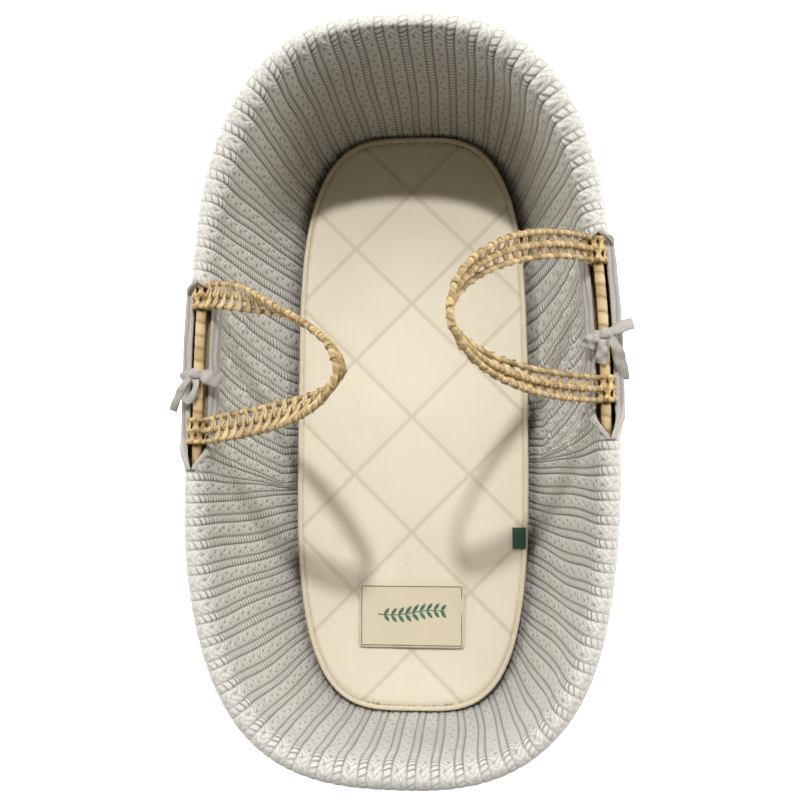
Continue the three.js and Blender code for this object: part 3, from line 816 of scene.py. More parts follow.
def add_liner():
    columns, rings = liner_rings()
    right_foot, right_head = slot_ends("right")
    left_head, left_foot = slot_ends("left")
    head_middle = HEAD_QUARTER / REPEAT
    foot_middle = REPEATS - FOOT_QUARTER / REPEAT
    both, inside, outside = (0, 1), (0,), (1,)
    pieces = [
        ("liner_head_right", right_head, head_middle, both, (0.42, 0.44), ["liner_rim_head"]),
        ("liner_head_left", head_middle, left_head, both, (0.45, 0.44), ["liner_rim_head"]),
        ("liner_left_inside", left_head, left_foot, inside, (0.215, 0.26), ["liner_wall"]),
        ("liner_left_outside", left_head, left_foot, outside, (0.215, 0.09), ["liner_skirt"]),
        ("liner_foot_left", left_foot, foot_middle, both, (0.46, 0.40), ["liner_rim_foot"]),
        ("liner_foot_right", foot_middle, right_foot + REPEATS, both, (0.49, 0.40), ["liner_rim_foot"]),
        ("liner_right_inside", right_foot, right_head, inside, (0.23, 0.26), ["liner_wall"]),
        ("liner_right_outside", right_foot, right_head, outside, (0.23, 0.09), ["liner_skirt"]),
    ]
    for name, start, end, parts, flat, nodes in pieces:
        liner_piece(name, rings, columns, start, end, parts, nodes)
    add_hem(columns, rings[1])


def add_hem(columns, outside):
    """A rolled hem with its elastic, gathered into small puckers."""
    edge = outside["points"][-1]
    arc = columns * REPEAT
    outward = rim_outward(arc_to_fraction(arc))
    pucker = 0.5 + 0.5 * np.cos(TAU * arc / 8.4 + 2 * waves(arc / 60, 0 * arc, 21))
    angles = whole_turn(12)
    radius = (2.3 + 0.7 * pucker)[:, None]
    out_by = (radius * np.cos(angles) - 1.2)[..., None]
    up_by = (radius * np.sin(angles) - 1.2)[..., None]
    ring = edge[:, None] + outward[:, None] * out_by + UP * up_by
    shape = Shape()
    around = np.r_[0 : len(arc), 0]
    shape.add_grid(
        ring[around],
        wrap=True,
        # Painted shade in the hollows between the puckers.
        shade=0.35 * (1 - pucker[around])[:, None],
        pattern_u=np.append(arc, RIM_LENGTH)[:, None],
        pattern_v=(angles * 3)[None, :],
    )
    place_on(shape.build("gathered_hem", KNIT, solid=True), "basket", "knit", "hem_elastic")


def add_facing(side_name, which):
    """A plain jersey strip that finishes one edge of a slot: folded cloth with a few long creases."""
    side = SIDES[side_name]
    inner = which == "inner"
    count, rows = 110, 15
    y = np.linspace(side["slot_foot"] + 2, side["slot_head"] - 2, count)
    fraction = np.array([rim_fraction(side["sign"], value) for value in y])
    opened = openness(fraction_to_arc(fraction))
    if inner:
        closed = smooth_line([(-2.0, 12.4), (0.5, 13.2), (2.4, 13.5)], rows)
        spread = smooth_line([(-16.6, -20.5), (-15.2, -13), (-12.2, -8.8), (-9.0, -6.6)], rows)
    else:
        closed = smooth_line([(2.4, 13.5), (5.2, 13.4), (8.0, 12.3)], rows)
        spread = smooth_line([(9.6, -4.4), (13.8, -5.6), (18.4, -8.6), (21, -18)], rows)
    out, rise = turning_mix(closed, spread, opened, 0 if inner else -180)
    across = np.linspace(0, 1, rows)[:, None]
    along = np.broadcast_to(y, out.shape)
    crease = 0.8 * np.sin(TAU * (2.4 * across + 0.15 * waves(along / 60, across, 31 + inner)))
    crease = crease * np.sin(math.pi * across) * opened
    body = beside_wall(fraction, out, rise)
    normal = grid_normals(body)
    if normal[rows // 2, count // 2, 2] < 0:
        normal = -normal
    thickness = 1.0 + 1.1 * np.sin(math.pi * across) * np.clip(opened, 0.15, 1)
    top = body + normal * (crease + thickness)[..., None]
    under = body - normal * thickness[..., None]
    loop = np.concatenate([top, under[::-1]], axis=0)
    # Painted shade in the hollows of the long creases.
    shade = np.concatenate([np.clip(-crease, 0, 1) * 0.75, np.zeros_like(out)], axis=0)
    shape = Shape()
    shape.add_grid(np.swapaxes(loop, 0, 1), wrap=True, caps=True, shade=shade.T)
    made = place_on(shape.build(f"{side_name}_{which}_edging", JERSEY, solid=True), "basket", "jersey",
                    f"{side_name}_{which}_facing")


# ---------- Woven palm ----------

BAND_HEIGHT = 38
STRAND_WIDTH = 11
STRANDS_ROUND = 2 * round(RIM_LENGTH / (2 * math.sqrt(2) * STRAND_WIDTH))


def plait_weave(u, v):
    """Relief, shade, tone and fibre places of plaited bands with diagonal strands in a herringbone."""
    band = v / BAND_HEIGHT
    in_band = np.mod(band, 1.0)
    lean = np.where(np.mod(np.floor(band), 2) < 1, 1, -1)
    a = (u + lean * v) / (STRAND_WIDTH * math.sqrt(2))
    b = (u - lean * v) / (STRAND_WIDTH * math.sqrt(2))
    over = np.mod(np.floor(a) + np.floor(b), 2) < 1
    phase = np.where(over, np.mod(a, 1.0), np.mod(b, 1.0))
    cross = np.where(over, np.mod(b, 1.0), np.mod(a, 1.0))
    crown = np.sin(math.pi * phase) ** 0.5 * np.sin(math.pi * cross) ** 0.35
    seam = np.exp(-((np.minimum(in_band, 1 - in_band) * BAND_HEIGHT / 2.0) ** 2))
    height = 2.2 * crown + 1.6 * np.sin(math.pi * in_band) ** 0.7 - 0.8 * seam
    strand = np.mod(np.where(over, np.floor(a), np.floor(b)), STRANDS_ROUND)
    tone = np.mod(np.where(over, strand * 0.618, strand * 0.382 + 0.3), 1.0)
    # Painted shade where a strand dips under its neighbours and along the seams between bands.
    shade = np.clip((1 - crown) ** 1.6 * 0.95 + 0.5 * seam, 0, 1)
    along = np.where(over, b, a) * 12
    sideways = phase * STRAND_WIDTH
    return height, shade, tone, along, sideways


def add_woven_wall():
    """The side wall: plaited outside, plain inside, where the liner hides it."""
    count = 960
    top_rise = -5.0
    arc = np.linspace(0, RIM_LENGTH, count + 1)
    fraction = arc_to_fraction(arc)
    fraction[-1] = 1 - 1e-9
    height = rim_height(fraction)
    share = np.linspace(0, 1, 96)[:, None]
    rise = mix(-height, top_rise, share)
    stretch = STRANDS_ROUND * math.sqrt(2) * STRAND_WIDTH / RIM_LENGTH
    relief, shade, tone, along, sideways = plait_weave(arc * stretch + 0 * rise, rise + height)
    edge = smoothstep(share, 0, 0.02) * smoothstep(1 - share, 0, 0.03)
    outer = beside_wall(fraction, 1.2 + relief * edge, rise)
    inner_rise = mix(-height, top_rise, np.linspace(1, 0, 5)[:, None])
    inner = beside_wall(fraction, -2.5, inner_rise)
    blank = np.zeros_like(inner_rise)

    def closed(outside, inside):
        return np.vstack([outside, inside, outside[:1]])[:, ::-1]

    shape = Shape()
    shape.add_grid(
        closed(outer, inner),
        shade=closed(shade, blank),
        tone=closed(tone, blank + 0.5),
        pattern_u=closed(along, blank + arc),
        pattern_v=closed(sideways, inner_rise),
    )
    place_on(shape.build("woven_wall", WEAVE), "basket", "palm_weave", "basket_wall")


def add_woven_base():
    """The base is one long plait wound into an oval: its rings are scaled copies of the outline."""
    count, rings = 480, 76
    base_round, half_width = 1900, 156
    fraction = np.linspace(0, 1, count, endpoint=False)
    scale = np.linspace(1, 0.02, rings)[:, None, None]
    outline = oval_points(BASE, fraction) - oval_normals(BASE, fraction) * 2.9
    inward = np.linspace(0, half_width, rings)[:, None] * np.ones((1, count))
    arc = fraction * base_round * np.maximum(scale[..., 0], 0.1)
    relief, shade, tone, along, sideways = plait_weave(arc, inward)
    weave = {"shade": shade, "tone": tone, "pattern_u": along, "pattern_v": sideways}
    shape = Shape()
    for height, on_top in ((np.full_like(relief, FLOOR_THICKNESS - 0.2), True), (4.2 - relief, False)):
        shape.add_grid(level_surface(outline * scale, height), wrap=True, flip=on_top, **weave)
    place_on(shape.build("woven_base", WEAVE), "basket", "palm_weave", "basket_floor")


def wound_tube(shape, centre, across, over, radius, pitch, slant, swell, sides, seed):
    """A rod or cord wound with a flat strip: each turn is slightly crowned and has its own tone."""
    length = distance_along(centre)[:, None]
    angle = whole_turn(sides)[None, :]
    wander = 0.12 * waves(length / (pitch * 5), 0 * length, seed + 50)
    turn = length / pitch + wander + slant * np.sin(angle + seed)
    inside = np.mod(turn, 1.0)
    crown = np.sin(math.pi * inside) ** 0.5
    tone = np.mod(np.floor(turn) * 0.618 + 0.13 * seed, 1.0)
    reach = radius * (1 + swell * (crown - 0.6) + 0.02 * (tone - 0.5))
    sideways = across[:, None] * (reach * np.cos(angle))[..., None]
    upwards = over[:, None] * (reach * np.sin(angle))[..., None]
    shape.add_grid(
        centre[:, None] + sideways + upwards,
        wrap=True,
        caps=True,
        flip=True,
        # Painted shade in the dips between the strip's turns.
        shade=np.clip(1 - crown * 1.25, 0, 1) * 0.8,
        tone=tone,
        pattern_u=angle * radius,
        pattern_v=inside * pitch,
    )


def add_rim_winding():
    arc = np.linspace(0, RIM_LENGTH, 1700)
    fraction = arc_to_fraction(arc)
    fraction[-1] = 1 - 1e-9
    centre = beside_wall(fraction, 0.0, 0.0)
    outward = rim_outward(fraction)
    up = even_directions(UP, outward)
    shape = Shape()
    wound_tube(shape, centre, outward, up, ROD_RADIUS - 0.6, 14, slant=0.1, swell=0.04, sides=18, seed=2)
    place_on(shape.build("rim_winding", WINDING), "basket", "palm_strip", "rim_binding")


# ---------- Handles ----------


def handle_frame(side):
    """The handle's centre and axes: along the hinge line, up the handle, and across its plane."""
    places = (side["handle"] + HANDLE_SPAN / 2, side["handle"] - HANDLE_SPAN / 2)
    ends = [beside_wall(rim_fraction(side["sign"], y), 0.0, 0.0) for y in places]
    axis = unit(ends[0] - ends[1])
    up = unit(UP - axis * axis[2])
    inward = np.cross(up, axis) * side["sign"]
    lean = math.radians(side["lean"])
    rising = inward * math.cos(lean) + up * math.sin(lean)
    normal = np.cross(axis, rising)
    return (ends[0] + ends[1]) / 2, axis, rising, normal, np.linalg.norm(ends[0] - ends[1]) / 2


class Strap:
    """The strap's middle line and frame, by millimetres along it."""

    def __init__(self, side):
        centre, axis, rising, normal, half_span = handle_frame(side)
        angle = np.linspace(0, math.pi, 1201)
        climb = np.clip(np.sin(angle), 0, 1) ** side["pinch"]
        local_x = half_span * np.cos(angle) - side["footward_lean"] * climb**1.6
        local_y = mix(STRAP_START, HANDLE_LENGTH, climb)
        route = centre + axis * local_x[:, None] + rising * local_y[:, None]
        self.at = distance_along(route)
        self.length = self.at[-1]
        along = unit(np.gradient(route, axis=0))
        outer = unit(np.cross(along, normal))
        share, top = self.at / self.length, side["twist_at"]
        nearness = np.minimum(share / top, (1 - share) / (1 - top))
        twist = np.radians(side["twist"]) * smoothstep(nearness, 0.15, 1)
        self.width = outer * np.cos(twist)[:, None] + normal * np.sin(twist)[:, None]
        self.over = unit(np.cross(along, self.width))
        self.route = route

    def frame(self, at):
        """The middle point, width and over directions at these places."""
        tables = (self.route, self.width, self.over)
        return [np.stack([np.interp(at, self.at, column) for column in table.T], axis=-1) for table in tables]

    def place(self, at, across, over):
        middle, width, thick = self.frame(at)
        return middle + width * np.asarray(across)[..., None] + thick * np.asarray(over)[..., None]


def ribbon(shape, line, face, width, thickness, tone, cup=0.0, sections=5):
    """A flat strip along a line, with a gently rounded section; face is its upper side's direction."""
    along = unit(np.gradient(line, axis=0))
    side = unit(np.cross(along, face))
    up = np.cross(side, along)
    places = np.linspace(-1, 1, sections)
    width = np.broadcast_to(width, len(line))[:, None]
    rows = []
    for level, order in ((0.5, places), (-0.5, places[::-1])):
        lift = thickness * level * (0.35 + 0.65 * (1 - order**2)) - cup * order**2
        sideways = side[:, None] * (width / 2 * order)[..., None]
        rows.append(line[:, None] + sideways + up[:, None] * lift[:, None])
    across = np.concatenate([places, places[::-1]])
    shape.add_grid(
        np.concatenate(rows, axis=1),
        wrap=True,
        caps=True,
        tone=tone,
        # Painted shade at the strip's edges.
        shade=0.35 * across**4,
        pattern_u=distance_along(line)[:, None] + tone * 90,
        pattern_v=across * 3,
    )


LATTICE_PITCH = 17
# Each cord's place across the strap, its radius and the pitch of its winding.
STRAP_CORDS = ((1, 2.8, 4.6), (0, 3.3, 8.5), (-1, 2.7, 12))
# Each strip's slant along the strap and its width.
LEAF = (12, 9.5)
ZIGZAG = (5, 4.4)
ZIGZAG_RETURN = 10


def lattice_strip(shape, strap, at, start, end, slope, width, tone):
    """A leaf-shaped strip that comes up round one cord, slants over the gap and goes down round the next."""
    step = 1 if end > start else -1
    near, far = start * CORD_SPACING, end * CORD_SPACING
    count = 24
    wrap = ((2.4, -2.8, 0.0), (3.4, 0.4, 0.04), (0.4, 3.5, 0.14))
    up_near = [(near - step * away, over, share) for away, over, share in wrap]
    down_far = [(far + step * away, over, 1 - share) for away, over, share in reversed(wrap)]
    across, over, share = smooth_line([*up_near, (mix(near, far, 0.5), 2.2, 0.5), *down_far], count).T
    places = at + slope * share
    line = strap.place(places, across, over)
    _, wide, thick = strap.frame(places)
    tilt = np.clip((across - (near + far) / 2) / (abs(far - near) / 2), -1.5, 1.5)
    side = np.sign(tilt) * smoothstep(np.abs(tilt), 0.9, 1.3)
    face = unit(wide * side[:, None] + thick * (1 - 0.75 * np.abs(side))[:, None])
    fullness = np.sin(math.pi * np.linspace(0, 1, count)) ** 2
    ribbon(shape, line, face, mix(3.2, width, fullness), 0.9, tone)


def add_strap(name):
    """The three wound cords, the lattice between them and the wraps round the rim."""
    strap = Strap(SIDES[name])
    cords = Shape()
    at = np.linspace(0, strap.length, int(strap.length / 0.85))
    middle, width, thick = strap.frame(at)
    for row, radius, pitch in STRAP_CORDS:
        centre = middle + width * row * CORD_SPACING
        wound_tube(cords, centre, width, thick, radius, pitch, slant=0.3, swell=0.05, sides=10, seed=5 + row)
    nodes = [f"{name}_{part}_cord" for part in ("outer", "middle", "inner")]
    place_on(cords.build(f"{name}_strap_cords", PALM), f"{name}_handle", "palm_strap", *nodes)

    lattice = Shape()
    for place in np.arange(4, strap.length - LATTICE_PITCH - 3, LATTICE_PITCH):
        on_head_leg = place < strap.length / 2
        for row in (1, -1):
            tone = random.uniform(0.3, 1.0)
            if (row == 1) != on_head_leg:
                slope = LEAF[0] if on_head_leg else -LEAF[0]
                lattice_strip(lattice, strap, place, row, 0, slope, LEAF[1], tone)
                continue
            slope, width = ZIGZAG
            lattice_strip(lattice, strap, place, 0, row, slope, width, tone)
            lattice_strip(lattice, strap, place + ZIGZAG_RETURN, 0, row, -slope, width, tone * 0.8 + 0.1)
    nodes = [f"{name}_outer_lace", f"{name}_inner_lace"]
    place_on(lattice.build(f"{name}_strap_lattice", PALM, solid=True), f"{name}_handle", "palm_strip", *nodes)
    add_strap_roots(name)


def add_strap_roots(name):
    """Where the strap goes round the rod: three cord ends and the strips between them, wound round it."""
    centre, axis, rising, normal, half_span = handle_frame(SIDES[name])
    turn = np.linspace(0, TAU, 61)
    strips = 14
    for end_name, end in (("head", 1), ("foot", -1)):
        middle = centre + axis * end * half_span
        around = rising * np.cos(turn)[:, None] + normal * np.sin(turn)[:, None]
        shape = Shape()
        for row in (-1, 0, 1):
            line = middle + axis * row * CORD_SPACING + around * 9.4
            level = even_directions(axis, line)
            wound_tube(shape, line, around, level, 2.7, 6.5, slant=0.2, swell=0.14, sides=10, seed=9 + row)
        for strip in range(strips):
            place = np.linspace(-1, 1, 12)
            side = 1 if strip % 2 else -1
            angle = strip * TAU / strips + (place + 1) / 2 * 0.95
            across = place * side * (CORD_SPACING + 1)
            reach = 8.6 + 2.6 * np.abs(np.cos(math.pi * place))
            out = rising * np.cos(angle)[:, None] + normal * np.sin(angle)[:, None]
            line = middle + axis * across[:, None] + out * reach[:, None]
            ribbon(shape, line, out, 4.8, 0.8, random.uniform(0.2, 1.0))
        made = shape.build(f"{name}_strap_{end_name}_root", PALM, solid=True)
        place_on(made, f"{name}_handle", "palm_strap", f"{name}_{end_name}_loop")


# ---------- Bows ----------

# Each strip's points as (outward, headward, up) from the rod, and its width at the knot and at its end.
BOW_STRIPS = {
    "left": [
        {"points": [(-3, -1, 13), (-11, -2, 15.5), (-19, -5, 14.5), (-27, -8, 10)], "width": (7, 15)},
        {
            "points": [
                (0, -3, 13), (-2, -12, 15), (2, -23, 13), (8, -29, 9),
                (12, -24, 9), (11, -13, 12), (5, -5, 13),
            ],
            "width": (7, 8),
        },
        {"points": [(3, -2, 14), (9, -9, 15), (17, -20, 11), (24, -31, 4), (29, -39, -3)], "width": (6, 8)},
        {"points": [(3, 1, 13), (9, 0, 13), (14, -3, 10), (16, -6, 2)], "width": (8, 9)},
    ],
    "right": [
        {"points": [(-3, 0, 13), (-10, -2, 15), (-16, -8, 13), (-21, -14, 8)], "width": (7, 14)},
        {"points": [(-1, -4, 13), (-4, -12, 15), (-5, -22, 12), (-6, -31, 7)], "width": (7, 11)},
        {"points": [(2, -3, 13), (8, -10, 14), (13, -22, 9), (17, -35, 0), (19, -47, -8)], "width": (8, 12)},
        {"points": [(3, 1, 13), (11, 4, 15), (20, 8, 13.5), (30, 11, 9)], "width": (8, 11)},
    ],
}
BOW_NODES = ("bow_band", "bow_knot", "bow_loop_long", "bow_loop_short", "bow_tail_long", "bow_tail_short")


def add_bow(name):
    side = SIDES[name]
    y = (side["slot_head"] + side["slot_foot"]) / 2
    fraction = rim_fraction(side["sign"], y)
    origin = beside_wall(fraction, 0.0, 0.0)
    outward = unit(beside_wall(fraction, 1.0, 0.0) - origin)
    headward = np.cross(UP, outward) * side["sign"]

    def place(points):
        points = np.asarray(points, float)
        return origin + outward * points[..., :1] + headward * points[..., 1:2] + UP * points[..., 2:]

    shape = Shape()
    count = 26
    for index, strip in enumerate(BOW_STRIPS[name]):
        line = place(smooth_line(strip["points"], count))
        share = np.linspace(0, 1, count)
        width = mix(*strip["width"], smoothstep(share, 0, 0.5))
        wobble = 0.45 * waves(share * 2.2, 0 * share, 60 + index)
        face = UP + outward * wobble[:, None]
        ribbon(shape, line, face, width * 1.15, 1.2, 0.5, cup=0.35, sections=9)
    angles = np.radians(np.linspace(-60, 240, 30))
    band = np.stack([8.2 * np.cos(angles), 0.6 * np.sin(3 * angles), 8.2 * np.sin(angles)], axis=1)
    ribbon(shape, place(band), unit(place(band) - origin), 9, 1.6, 0.5, cup=-0.5, sections=9)
    add_knot(shape, place)
    nodes = [f"{name}_{node}" for node in BOW_NODES]
    made = place_on(shape.build(f"{name}_bow", JERSEY, solid=True), "basket", "jersey", *nodes)


def add_knot(shape, place):
    """A small pulled knot: a flattened ball with diagonal folds."""
    polar = np.linspace(0.12, math.pi - 0.12, 14)[:, None]
    turn = whole_turn(22)[None, :]
    fold = 1 + 0.10 * np.sin(3 * turn + 2.5 * polar)
    x = 7.2 * np.sin(polar) * np.cos(turn) * fold
    y = 6.2 * np.sin(polar) * np.sin(turn) * fold
    z = 13.4 + 4.6 * np.cos(polar) * np.ones_like(turn)
    # Painted shade in the knot's folds.
    shade = np.clip(3 * (1 - fold), 0, 0.5)
    shape.add_grid(place(np.stack([x, y, z], axis=-1)), wrap=True, caps=True, shade=shade)


# ---------- Mattress ----------

QUILT_CROSSING = 150
QUILT_CELL = QUILT_CROSSING / math.sqrt(2)
QUILT_STEPS = 24
PANEL_INSET = 5.0
PANEL_REACH = 330
PUFF = 5.5
STITCH = 4


def seam_distance(x, y):
    """How far each point is from the nearest line of diagonal quilting, and how far along that line it is."""
    p, q = (x + y) / math.sqrt(2), (x - y) / math.sqrt(2)
    to_p = np.abs(np.mod(p + QUILT_CELL / 2, QUILT_CELL) - QUILT_CELL / 2)
    to_q = np.abs(np.mod(q + QUILT_CELL / 2, QUILT_CELL) - QUILT_CELL / 2)
    return np.minimum(to_p, to_q), np.where(to_p < to_q, q, p)


def outline_share(x, y):
    """1 on the panel's outline and less inside it."""
    n = MATTRESS["head_squareness"]
    half_width, half_length = MATTRESS["half_width"] - PANEL_INSET, MATTRESS["head"] - PANEL_INSET
    return (np.abs(x / half_width) ** n + np.abs(y / half_length) ** n) ** (1 / n)


def quilt_panel(up_sign, height, steps, puff):
    """A quilted panel on a grid laid along the quilting lines, trimmed to the mattress outline."""
    step = QUILT_CELL / steps
    reach = int(PANEL_REACH / step)
    lines = np.arange(-reach, reach + 1) * step
    p, q = np.meshgrid(lines, lines, indexing="ij")
    x, y = (p + q) / math.sqrt(2), (p - q) / math.sqrt(2)
    half_width = MATTRESS["half_width"]
    share = outline_share(x, y)
    pull = 1 / np.maximum(share, 1)
    inside = share < 1 + 1.1 * step / half_width
    quad_inside = inside[:-1, :-1] & inside[1:, :-1] & inside[1:, 1:] & inside[:-1, 1:]
    index = np.full(x.shape, -1)
    used = np.zeros(x.shape, bool)
    before, after = slice(None, -1), slice(1, None)
    for rows, columns in ((before, before), (after, before), (after, after), (before, after)):
        used[rows, columns] |= quad_inside
    index[used] = np.arange(used.sum())
    x, y = x * pull, y * pull
    distance, along = seam_distance(x, y)
    edge = np.clip((1 - share) * half_width, 0, None)
    near = np.minimum(distance, edge)
    ripple = 0.45 * np.exp(-distance / 7) * np.sin(TAU * along / 8.5 + 2 * waves(x / 60, y / 60, 71))
    lift = puff * (1 - np.exp(-near / 15)) + ripple * np.clip(edge / 10, 0, 1) - 1.5
    z = height + up_sign * (lift + 0.7 * waves(x / 130, y / 130, 72))
    quads = np.stack([index[:-1, :-1], index[1:, :-1], index[1:, 1:], index[:-1, 1:]], axis=-1)[quad_inside]
    shape = Shape()
    # Painted shade along the sewn quilting lines and at the panel's edge.
    seam = np.exp(-((distance / 0.9) ** 2)) * 0.30 + 0.45 * np.exp(-((edge / 2.2) ** 2))
    shape.add_points(np.stack([x, y, z], axis=-1)[used], {"shade": seam[used]})
    shape.faces.append(quads[:, ::-1] if up_sign > 0 else quads)
    pinned = (distance[used] < 0.2) | (edge[used] < 2.5)
    return shape, pinned


def inflate(panel, pinned, cap):
    """Fills the quilted cells: cloth under pressure, held on the sewn lines and moved cap mm at most."""
    last_frame = 18
    before = np.array([vertex.co for vertex in panel.data.vertices])
    group = panel.vertex_groups.new(name="sewn")
    group.add(np.nonzero(pinned)[0].tolist(), 1.0, "REPLACE")
    cloth = panel.modifiers.new("inflate", "CLOTH")
    settings = cloth.settings
    settings.quality = 5
    settings.mass = 0.15
    settings.tension_stiffness = 12
    settings.compression_stiffness = 12
    settings.shear_stiffness = 6
    settings.bending_stiffness = 0.6
    settings.shrink_min = -0.012
    settings.use_pressure = True
    settings.uniform_pressure_force = 1.6
    settings.effector_weights.gravity = 0
    settings.vertex_group_mass = "sewn"
    cloth.collision_settings.use_collision = False
    scene = bpy.context.scene
    for number in range(1, last_frame + 1):
        scene.frame_set(number)
    evaluated = panel.evaluated_get(bpy.context.evaluated_depsgraph_get())
    after = np.array([vertex.co for vertex in evaluated.data.vertices])
    panel.modifiers.remove(cloth)
    scene.frame_set(1)
    move = after - before
    distance = np.linalg.norm(move, axis=1, keepdims=True)
    limit = cap * MM
    move *= limit * np.tanh(distance / limit) / np.maximum(distance, 1e-9)
    panel.data.vertices.foreach_set("co", (before + move).astype(np.float32).reshape(-1))
    panel.data.update()


def add_panels():
    shape, pinned = quilt_panel(1, MATTRESS_TOP, QUILT_STEPS, 1.5)
    top = shape.build("quilted_top", COTTON)
    inflate(top, pinned, PUFF + 1)
    place_on(top, "mattress", "cream_cotton", "cover_top")
    shape, _ = quilt_panel(-1, MATTRESS_BOTTOM, 10, 2.0)
    bottom = place_on(shape.build("quilted_bottom", COTTON), "mattress", "cream_cotton", "cover_bottom")


def add_binding(name, height, node):
    """The cloth binding sewn round the panel's edge, with small puckers at its stitching."""
    count = 640
    around = np.r_[0:count, 0]
    fraction = np.linspace(0, 1, count, endpoint=False)
    arc = fraction * MATTRESS_ROUND
    angle = whole_turn(14)[None, :]
    pucker = 1 + 0.05 * np.sin(TAU * arc / 9 + 2 * waves(arc / 70, 0 * arc, 81))
    pucker = pucker[:, None] + 0.05 * waves(arc / 130, 0 * arc, 82)[:, None]
    wide, tall = 3.3, 2.8
    inward = -2.6 + 0.5 * waves(arc / 200, 0 * arc, 83)[:, None]
    outward = inward + wide * pucker * np.cos(angle)
    points = beside_mattress(fraction[:, None], outward, height + tall * pucker * np.sin(angle))
    on_stitch = 0.5 + 0.5 * np.sign(np.sin(TAU * arc / STITCH))
    stitch = np.exp(-(((angle - 2.6) / 0.18) ** 2)) * on_stitch[:, None]
    shape = Shape()
    shape.add_grid(points[around], wrap=True, flip=True, shade=0.35 * stitch[around])
    place_on(shape.build(name, BINDING, solid=True), "mattress", "cream_cotton", node)


def add_band():
    """The cover's side, a little puckered along its seams."""
    count = 480
    fraction = np.linspace(0, 1, count, endpoint=False)
    arc = fraction * MATTRESS_ROUND
    share = np.linspace(0, 1, 12)[:, None]
    bow = np.sin(math.pi * share)
    pucker = 0.42 * np.sin(TAU * arc / 16 + 2.5 * waves(arc / 90, 0 * arc, 91)) * bow**0.5
    outward = -1.9 + 1.2 * bow**0.6 + pucker
    points = beside_mattress(fraction, outward, mix(MATTRESS_BOTTOM + 3, MATTRESS_TOP - 3, share))
    shape = Shape()
    shape.add_grid(points[:, np.r_[0:count, 0]], flip=True, shade=0.0)
    band = place_on(shape.build("side_band", COTTON), "mattress", "cream_cotton", "cover_band")


def add_zip():
    """A coil zip on the foot side: two tapes, teeth and a slider with its pull."""
    middle = (MATTRESS_BOTTOM + MATTRESS_TOP) / 2
    foot, half_share = 0.75, 3 / 44
    fraction = np.linspace(foot - half_share, foot + half_share, 121)
    share = np.linspace(-1, 1, 9)[:, None]
    outward = 0.45 + 0.12 * np.cos(TAU * share * 2.5) - 0.3 * np.abs(share) ** 3
    seam = 0.25 * np.exp(-((np.abs(share) - 0.75) ** 2) / 0.01)
    tape = Shape()
    tape.add_grid(beside_mattress(fraction, outward, middle + 6 * share), flip=True, shade=seam)
    tapes = place_on(tape.build("zip_tapes", COTTON), "mattress", "cream_cotton", "zip_tape")
    teeth = Shape()
    arch = np.array([0.4, 1.1, 1.3, 1.1, 0.4])
    for k, place in enumerate(np.linspace(fraction[2], fraction[-3], 84)):
        height = middle + (0.8 if k % 2 else -0.8) + np.linspace(-1.6, 1.6, 5)
        line = beside_mattress(place, arch, height)
        away = beside_mattress(place, 9.0, height) - line
        ribbon(teeth, line, unit(away), 1.0, 0.8, 0.5)
    place_on(teeth.build("zip_teeth", BINDING, solid=True), "mattress", "zip_plastic", "zip_tape")
    pull = Shape()
    line = beside_mattress(foot, np.linspace(1.6, 1.9, 14), middle + np.linspace(3.0, -9.0, 14))
    width = np.concatenate([np.linspace(5.6, 6.0, 6), np.linspace(2.4, 3.0, 8)])
    ribbon(pull, line, even_directions([0.0, -1.0, 0.0], line), width, 1.2, 0.5)
    place_on(pull.build("zip_pull", BINDING, solid=True), "mattress", "zip_plastic", "zip_slider")


LABEL = {"half_width": 67, "half_length": 40, "corner": 4, "y": -255}
LABEL_CORNERS = np.array([(1, 1), (-1, 1), (-1, -1), (1, -1), (1, 1)])


def label_outline():
    """The label's edge about its own middle, with rounded corners."""
    size = np.array([LABEL["half_width"], LABEL["half_length"]])
    points = []
    for k, corner in enumerate(LABEL_CORNERS[:4]):
        angle = (np.linspace(0, math.pi / 2, 6) + k * math.pi / 2)[:, None]
        arc = LABEL["corner"] * np.concatenate([np.cos(angle), np.sin(angle)], axis=1)
        points.append(corner * (size - LABEL["corner"]) + arc)
    return np.concatenate(points)


def label_height(x, y):
    """The label lies nearly flat over the quilting and sags a little towards its edges."""
    share = np.maximum(np.abs(x) / LABEL["half_width"], np.abs(y - LABEL["y"]) / LABEL["half_length"])
    return MATTRESS_TOP + PUFF - 1.2 - 0.9 * share**2 + 0.25 * waves(x / 50, y / 50, 96)


def add_label():
    """A sewn cream patch with a fine border and a plain leaf sprig."""
    shape = Shape()
    centre = np.array([0, LABEL["y"]])
    rings = []
    face_rings = [(scale, 1) for scale in (0.02, 0.3, 0.55, 0.75, 0.9, 0.985)]
    for scale, lift in [*face_rings, (1, 0.4), (0.99, -0.6)]:
        flat = label_outline() * scale + centre
        rings.append(level_surface(flat, label_height(*flat.T) + lift))
    shape.add_grid(np.array(rings), wrap=True, shade=0.0)
    patch = place_on(shape.build("label", BINDING), "mattress", "cream_cotton", "label_patch")

    border = Shape()
    border_inset, border_stitch = 3, 3.4
    size = np.array([LABEL["half_width"], LABEL["half_length"]]) - border_inset
    corners = LABEL_CORNERS * size
    for start, end in zip(corners, corners[1:]):
        stitches = int(np.linalg.norm(end - start) / border_stitch)
        for k in range(stitches):
            share = (k + np.array([0.04, 0.5, 0.96])) / stitches
            flat = mix(start, end, share[:, None]) + centre
            line = level_surface(flat, label_height(*flat.T) + 1.15)
            ribbon(border, line, even_directions(UP, line), 1.1, 0.5, 0.5, sections=3)
    place_on(border.build("label_stitching", THREAD, solid=True), "mattress", "cream_cotton", "label_patch")
    add_sprig()


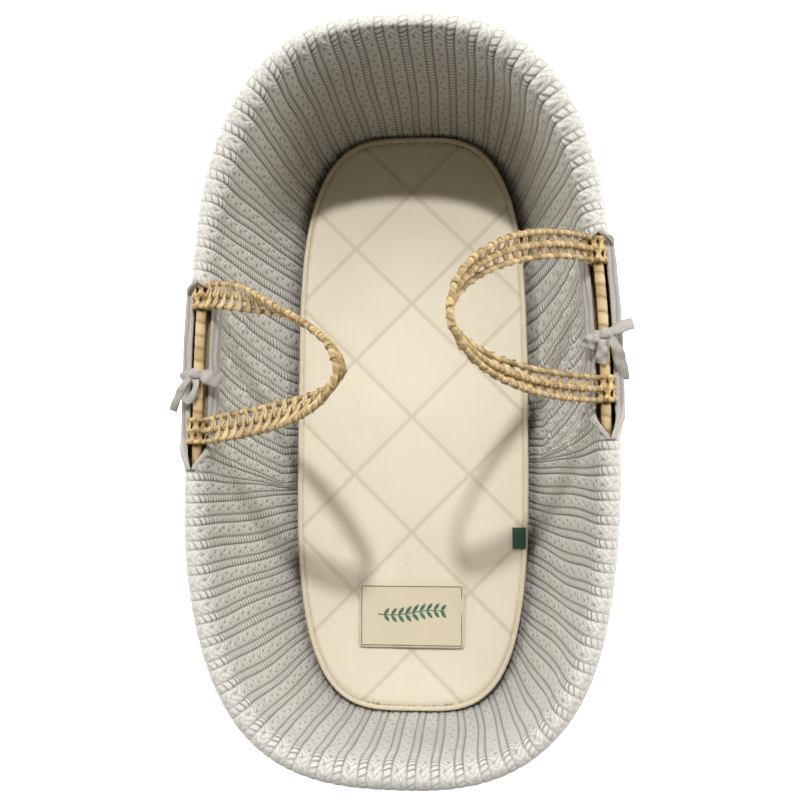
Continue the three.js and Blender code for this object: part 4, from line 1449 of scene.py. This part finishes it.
def add_sprig():
    """A green embroidered sprig: a wavy stem with nine pairs of leaves."""
    shape = Shape()
    scale, half_stem, leaf_lean = 1.25, 34, math.radians(52)

    def stem_y(x):
        return 2.5 * np.sin(x / half_stem * math.pi * 0.8)

    def stitch(x, y, width):
        flat = scale * np.stack([x, y], axis=-1) + (0, LABEL["y"] + 4)
        line = level_surface(flat, label_height(*flat.T) + 1.35)
        ribbon(shape, line, even_directions(UP, line), width, 0.4, 0.5, sections=3)

    x = np.linspace(-half_stem, half_stem, 40)
    stitch(x, stem_y(x), 1.2)
    for k, place in enumerate(np.linspace(-28, 30, 9)):
        share = np.linspace(0, 1, 10)
        along = (10.5 - 0.25 * abs(k - 4) ** 1.5) * share
        width = np.maximum(4.2 * np.sin(math.pi * share) ** 0.8, 0.3)
        for side in (1, -1):
            rise = side * along * math.sin(leaf_lean)
            stitch(place + along * math.cos(leaf_lean), stem_y(place) + rise, width)
    place_on(shape.build("label_sprig", THREAD, solid=True), "mattress", "cream_cotton", "label_patch")


def add_side_tag():
    """A small folded green tag sewn in under the binding."""
    shape = Shape()
    low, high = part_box("side_tag")
    y = np.linspace(low.y / MM, high.y / MM, 12)
    x = np.linspace(low.x / MM, high.x / MM + 2, 7)
    flat = np.stack(np.meshgrid(x, y, indexing="ij"), axis=-1)
    tucked = 1.5 * smoothstep(flat[..., 0], x[-3], x[-1])
    lift = MATTRESS_TOP + 2.4 + 0.7 * waves(flat[..., 0] / 30, flat[..., 1] / 30, 95) - tucked
    for level, flip in ((0.5, False), (-0.5, True)):
        shape.add_grid(level_surface(flat, lift + level), flip=flip)
    made = place_on(shape.build("folded_tag", GREEN), "mattress", "green_tag", "side_tag")


# ---------- Assembly ----------

add_camera()
add_surroundings()
add_liner()
for side_name in SIDES:
    add_facing(side_name, "inner")
    add_facing(side_name, "outer")
    add_bow(side_name)
    add_strap(side_name)
add_woven_wall()
add_woven_base()
add_rim_winding()
add_panels()
add_binding("binding_top", MATTRESS_TOP - 2.2, "piping_top")
add_binding("binding_bottom", MATTRESS_BOTTOM + 2.2, "piping_bottom")
add_band()
add_zip()
add_label()
add_side_tag()
for node, material in (("rim_rod", CANE), ("liner_base", COTTON), ("mattress_core", FOAM)):
    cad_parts[node].data.materials.clear()
    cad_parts[node].data.materials.append(material)
